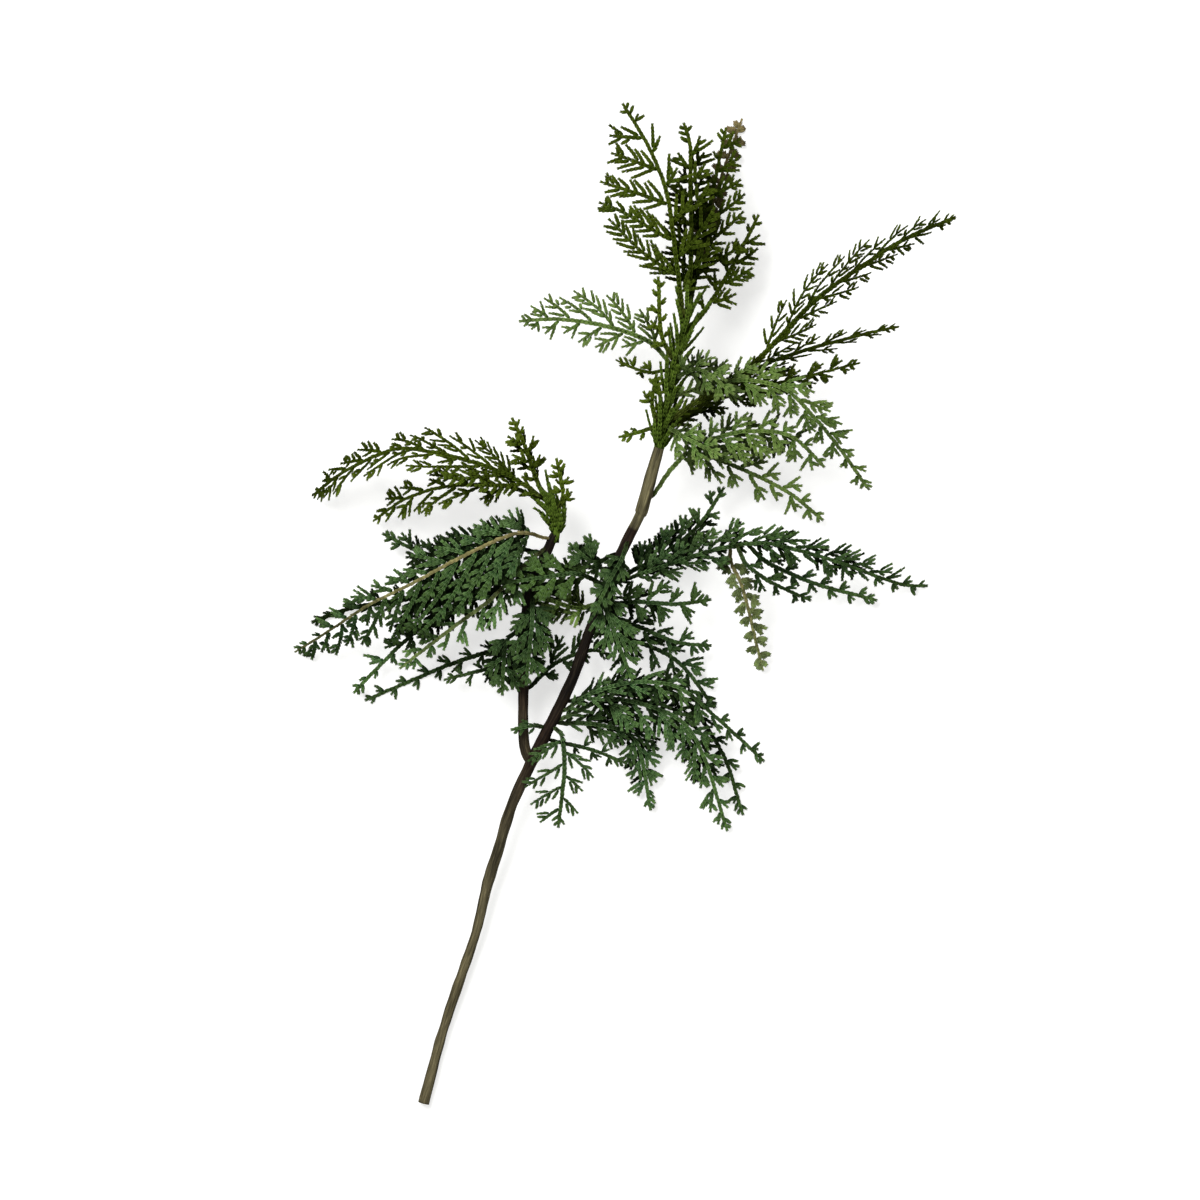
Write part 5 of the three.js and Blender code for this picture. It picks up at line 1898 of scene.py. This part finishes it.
@dataclass
class FoliageSpray:
    """The leaves of one spray: its rib, branchlets and twigs, whorl after whorl."""

    spray: Spray
    painted_canopy_shade: PaintedCanopyShade
    pitch: float = 2.35
    step: float = 1.4
    overhang: float = 2.2
    root_depth: float = 1.4
    shortest: float = 0.9
    point_share: float = 0.8

    # How broad the leaves of each kind of twig are at its start and its tip, and how young at its tip
    BRANCHLETS = (1.12, 0.86, 0.5)
    TWIGS = (0.98, 0.88, 0.7)
    FINE_TWIGS = (0.96, 0.86, 0.75)
    UNDER_LAYER = (1.05, 0.8, 0.4)
    FIRST_SEED = 20

    def build(self, grower: LeafGrower, finish: bpy.types.Material) -> bpy.types.Object:
        """Builds the spray.

        Args:
            grower: what covers it with leaves.
            finish: the leaves' material.

        Returns:
            The piece.
        """
        plan = self.spray.plan
        lines = TwigLines(plan.name + "_leaves")
        lines.add(self._rib())
        for branchlet in self.spray.branchlets:
            lines.add(self._twig(branchlet, *self.BRANCHLETS))
            for twig in branchlet.children:
                lines.add(self._twig(twig, *self.TWIGS))
        for twig in self.spray.fine:
            lines.add(self._twig(twig, *self.FINE_TWIGS))
        for twig in self.spray.under:
            lines.add(self._twig(twig, *self.UNDER_LAYER))
        mesh = grower.grow(lines, finish, self.pitch, self.spray.index + self.FIRST_SEED)
        return dress(mesh, plan.name + "_leaves", plan.name)

    def _rib(self) -> Chain:
        """Makes the rib's line, which starts inside what carries it.

        Returns:
            The line.
        """
        spray, plan = self.spray, self.spray.plan
        dry = DRY_RIBS.get(plan.name, 0.0)
        broad = RIB_BREADTH.get(plan.name, 1.0) * (1 - 0.25 * dry)
        chain = Chain()
        root, along = spray.line.at(0), spray.line.tangent(0.5)
        length = spray.length - self.overhang
        count = max(3, int(length / self.step))
        for i in range(-1, count + 1):
            u = length * max(i, 0) / count
            p, normal = spray.sheet(u, 0)
            share = spray.tip_share(u)
            bare = min(1.0, u / max(plan.bare, 1.0))
            end = self.point_share if i == count else 1.0
            chain.add(root - along * self.root_depth if i < 0 else p, normal,
                      breadth=between(0.95, 1.15, bare) * between(1.15, 0.78, share) * broad * end,
                      stretch=between(1.5, 1.15, bare),
                      dry=max(dry * (1 - 0.5 * share), 0.08 * (1 - bare)),
                      young=0.6 * share**2,
                      core=between(0.55, 0.25, min(1.0, share * 1.6)) * (1 + 0.2 * dry),
                      light=self._light(p) * between(0.7, 1.0, max(bare, dry)))
        return chain

    def _twig(self, twig: Twig, broad: float, narrow: float, fresh: float) -> Chain:
        """Makes a twig's line.

        Args:
            twig: the branchlet or twig.
            broad: how broad its leaves are at its start.
            narrow: how broad they are at its tip.
            fresh: how young they are at its tip.

        Returns:
            The line.
        """
        length = max(twig.length - self.overhang, self.shortest)
        count = max(1, round(length / self.step))
        chain = Chain()
        plan = self.spray.plan
        plump = PLUMPNESS[plan.tone] * TWIG_BREADTH.get(plan.name, 1.0)
        fresher = FRESHNESS.get(plan.name, 0.0)
        dry = DRY_LEAVES.get(plan.name, 0.0)
        outer = 0.4 + 0.6 * self.spray.tip_share(twig.start[0])
        for i in range(count + 1):
            share = i / count
            p, normal = twig.place(length * share)
            end = self.point_share if i == count else 1.0
            chain.add(p, normal,
                      breadth=between(broad, narrow, share) * end * plump,
                      stretch=between(1.0, 0.9, share),
                      dry=dry,
                      young=max(fresher, fresh * share * outer),
                      core=between(0.3, 0.16, share),
                      light=self._light(p) * twig.light)
        return chain

    def _light(self, p: Array) -> float:
        """Returns how light the leaves at p are: their spray's tone shift, times the painted shade from
        what lies over them.
        """
        plan = self.spray.plan
        return (1 + TONE_SHIFTS.get(plan.name, 0.0)) * (1 - PAINTED_SHADE_DEPTHS[plan.tone] * self.painted_canopy_shade.over(p))


def dress(mesh: bpy.types.Mesh, name: str, node: str) -> bpy.types.Object:
    """Puts a finished mesh in the scene in place of a node of the model.

    Args:
        mesh: the mesh, in the model's frame.
        name: the piece's name.
        node: the node that it stands for.

    Returns:
        The piece.
    """
    piece = bpy.data.objects.new(name, mesh)
    bpy.context.scene.collection.objects.link(piece)
    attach(piece, ROOT_BODY)
    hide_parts(node)
    triangles = sum(len(p.vertices) - 2 for p in mesh.polygons)
    LOG.info("%s: %d triangles, for %s", name, triangles, node)
    return piece


@dataclass
class Studio:
    """The pale floor, the soft lights and the camera that looks straight down."""

    view_centre: Point = (-12.0, 4.0, 34.0)
    view_width: float = 600.0
    view_depth: float = 50.0
    lens: float = 200.0
    sensor: float = 36.0
    floor_half: float = 2500.0
    floor_drop: float = 0.4
    floor_bounce: float = 0.38
    floor_glow: float = 0.6
    sky_strength: float = 0.3
    # Each light's place in metres, its side in metres and its power in watts
    main_light: tuple[Point, float, float] = ((-0.6, 0.7, 1.5), 0.9, 34.0)
    fill_light: tuple[Point, float, float] = ((0.9, -0.5, 1.2), 1.2, 6.0)

    def build(self) -> None:
        """Builds all of it."""
        self._camera()
        self._floor()
        self._lights()

    def _camera(self) -> None:
        """Adds the camera, far enough up that its view is as wide as the photograph's."""
        data = bpy.data.cameras.new("camera")
        data.lens = self.lens
        data.sensor_width = self.sensor
        x, y, z = (c * MM for c in self.view_centre)
        camera = bpy.data.objects.new("camera", data)
        camera.location = (x, y, z + self.view_width * MM * self.lens / self.sensor)
        data.clip_end = self.view_depth
        bpy.context.scene.collection.objects.link(camera)
        bpy.context.scene.camera = camera

    def _floor(self) -> None:
        """Adds the plain pale floor."""
        half, z = self.floor_half * MM, -self.floor_drop * MM
        mesh = bpy.data.meshes.new("floor")
        rim = [(-half, -half, z), (half, -half, z), (half, half, z), (-half, half, z)]
        mesh.from_pydata(rim, [], [(0, 1, 2, 3)])
        finish = bpy.data.materials.new("pale_floor")
        finish.use_nodes = True
        t = NodeTree(finish.node_tree)
        shader = finish.node_tree.nodes["Principled BSDF"]
        place = t.add("ShaderNodeTexCoord").outputs["Object"]
        speck = t.add("ShaderNodeTexNoise", Vector=place, Scale=60.0)
        tone = t.mix(speck.outputs[0], colour("c4c4c2"), colour("c8c8c6"))
        seen = t.add("ShaderNodeLightPath").outputs["Is Camera Ray"]
        bounced = t.scale(tone, t.spread(seen, 0.0, 1.0, self.floor_bounce, 1.0))
        t.feed(shader.inputs["Base Color"], bounced)
        shader.inputs["Roughness"].default_value = 0.9
        shader.inputs["Specular IOR Level"].default_value = 0.0
        shader.inputs["Emission Color"].default_value = (1.0, 1.0, 0.99, 1.0)
        t.feed(shader.inputs["Emission Strength"], t.sum("MULTIPLY", seen, self.floor_glow))
        mesh.materials.append(finish)
        floor = bpy.data.objects.new("floor", mesh)
        bpy.context.scene.collection.objects.link(floor)

    def _lights(self) -> None:
        """Adds soft even light, with the main light from the upper left."""
        world = bpy.data.worlds.new("studio")
        bpy.context.scene.world = world
        world.use_nodes = True
        sky = world.node_tree.nodes["Background"]
        sky.inputs["Color"].default_value = (1.0, 1.0, 1.0, 1.0)
        sky.inputs["Strength"].default_value = self.sky_strength
        self._area("main_light", *self.main_light)
        self._area("fill_light", *self.fill_light)
        view = bpy.context.scene.view_settings
        view.view_transform = "Standard"
        view.look = "None"

    def _area(self, name: str, place: Point, size: float, power: float) -> None:
        """Adds a square light that faces the middle of the sprig.

        Args:
            name: its name.
            place: where it hangs, in metres.
            size: its side, in metres.
            power: its power, in watts.
        """
        data = bpy.data.lights.new(name, "AREA")
        data.size = size
        data.energy = power
        light = bpy.data.objects.new(name, data)
        light.matrix_world = (Matrix.Translation(place)
                              @ (-Vector(place)).to_track_quat("-Z", "Y").to_matrix().to_4x4())
        bpy.context.scene.collection.objects.link(light)


def main() -> None:
    """Builds the dressed sprig, piece by piece."""
    logging.basicConfig(level=logging.INFO, format="%(message)s", stream=sys.stdout)
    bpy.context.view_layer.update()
    Studio().build()
    effects = SharedEffects()
    finishes = {f.tone: f.material(effects) for f in LEAF_FINISHES}
    growth = Growth()
    sprays = growth.run()
    LOG.info("%d sprays, %d branchlets", len(sprays), sum(len(s.branchlets) for s in sprays))
    WoodyStem().build(growth, BarkFinish().material(effects))
    grower = LeafGrower()
    for shoot in (GreenShoot("leader_shoot", "leader", tufts=62, overlap=2.4, tuft_length=12.5),
                  GreenShoot("side_shoot", "side", tufts=22, overlap=5.0, tuft_length=11.0)):
        shoot.build(growth, grower, finishes[Tone.SHOOT])
    painted_canopy_shade = PaintedCanopyShade(growth.room)
    for spray in sprays:
        FoliageSpray(spray, painted_canopy_shade).build(grower, finishes[spray.plan.tone])
    grower.clear()
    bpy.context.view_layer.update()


if __name__ == "__main__":
    main()
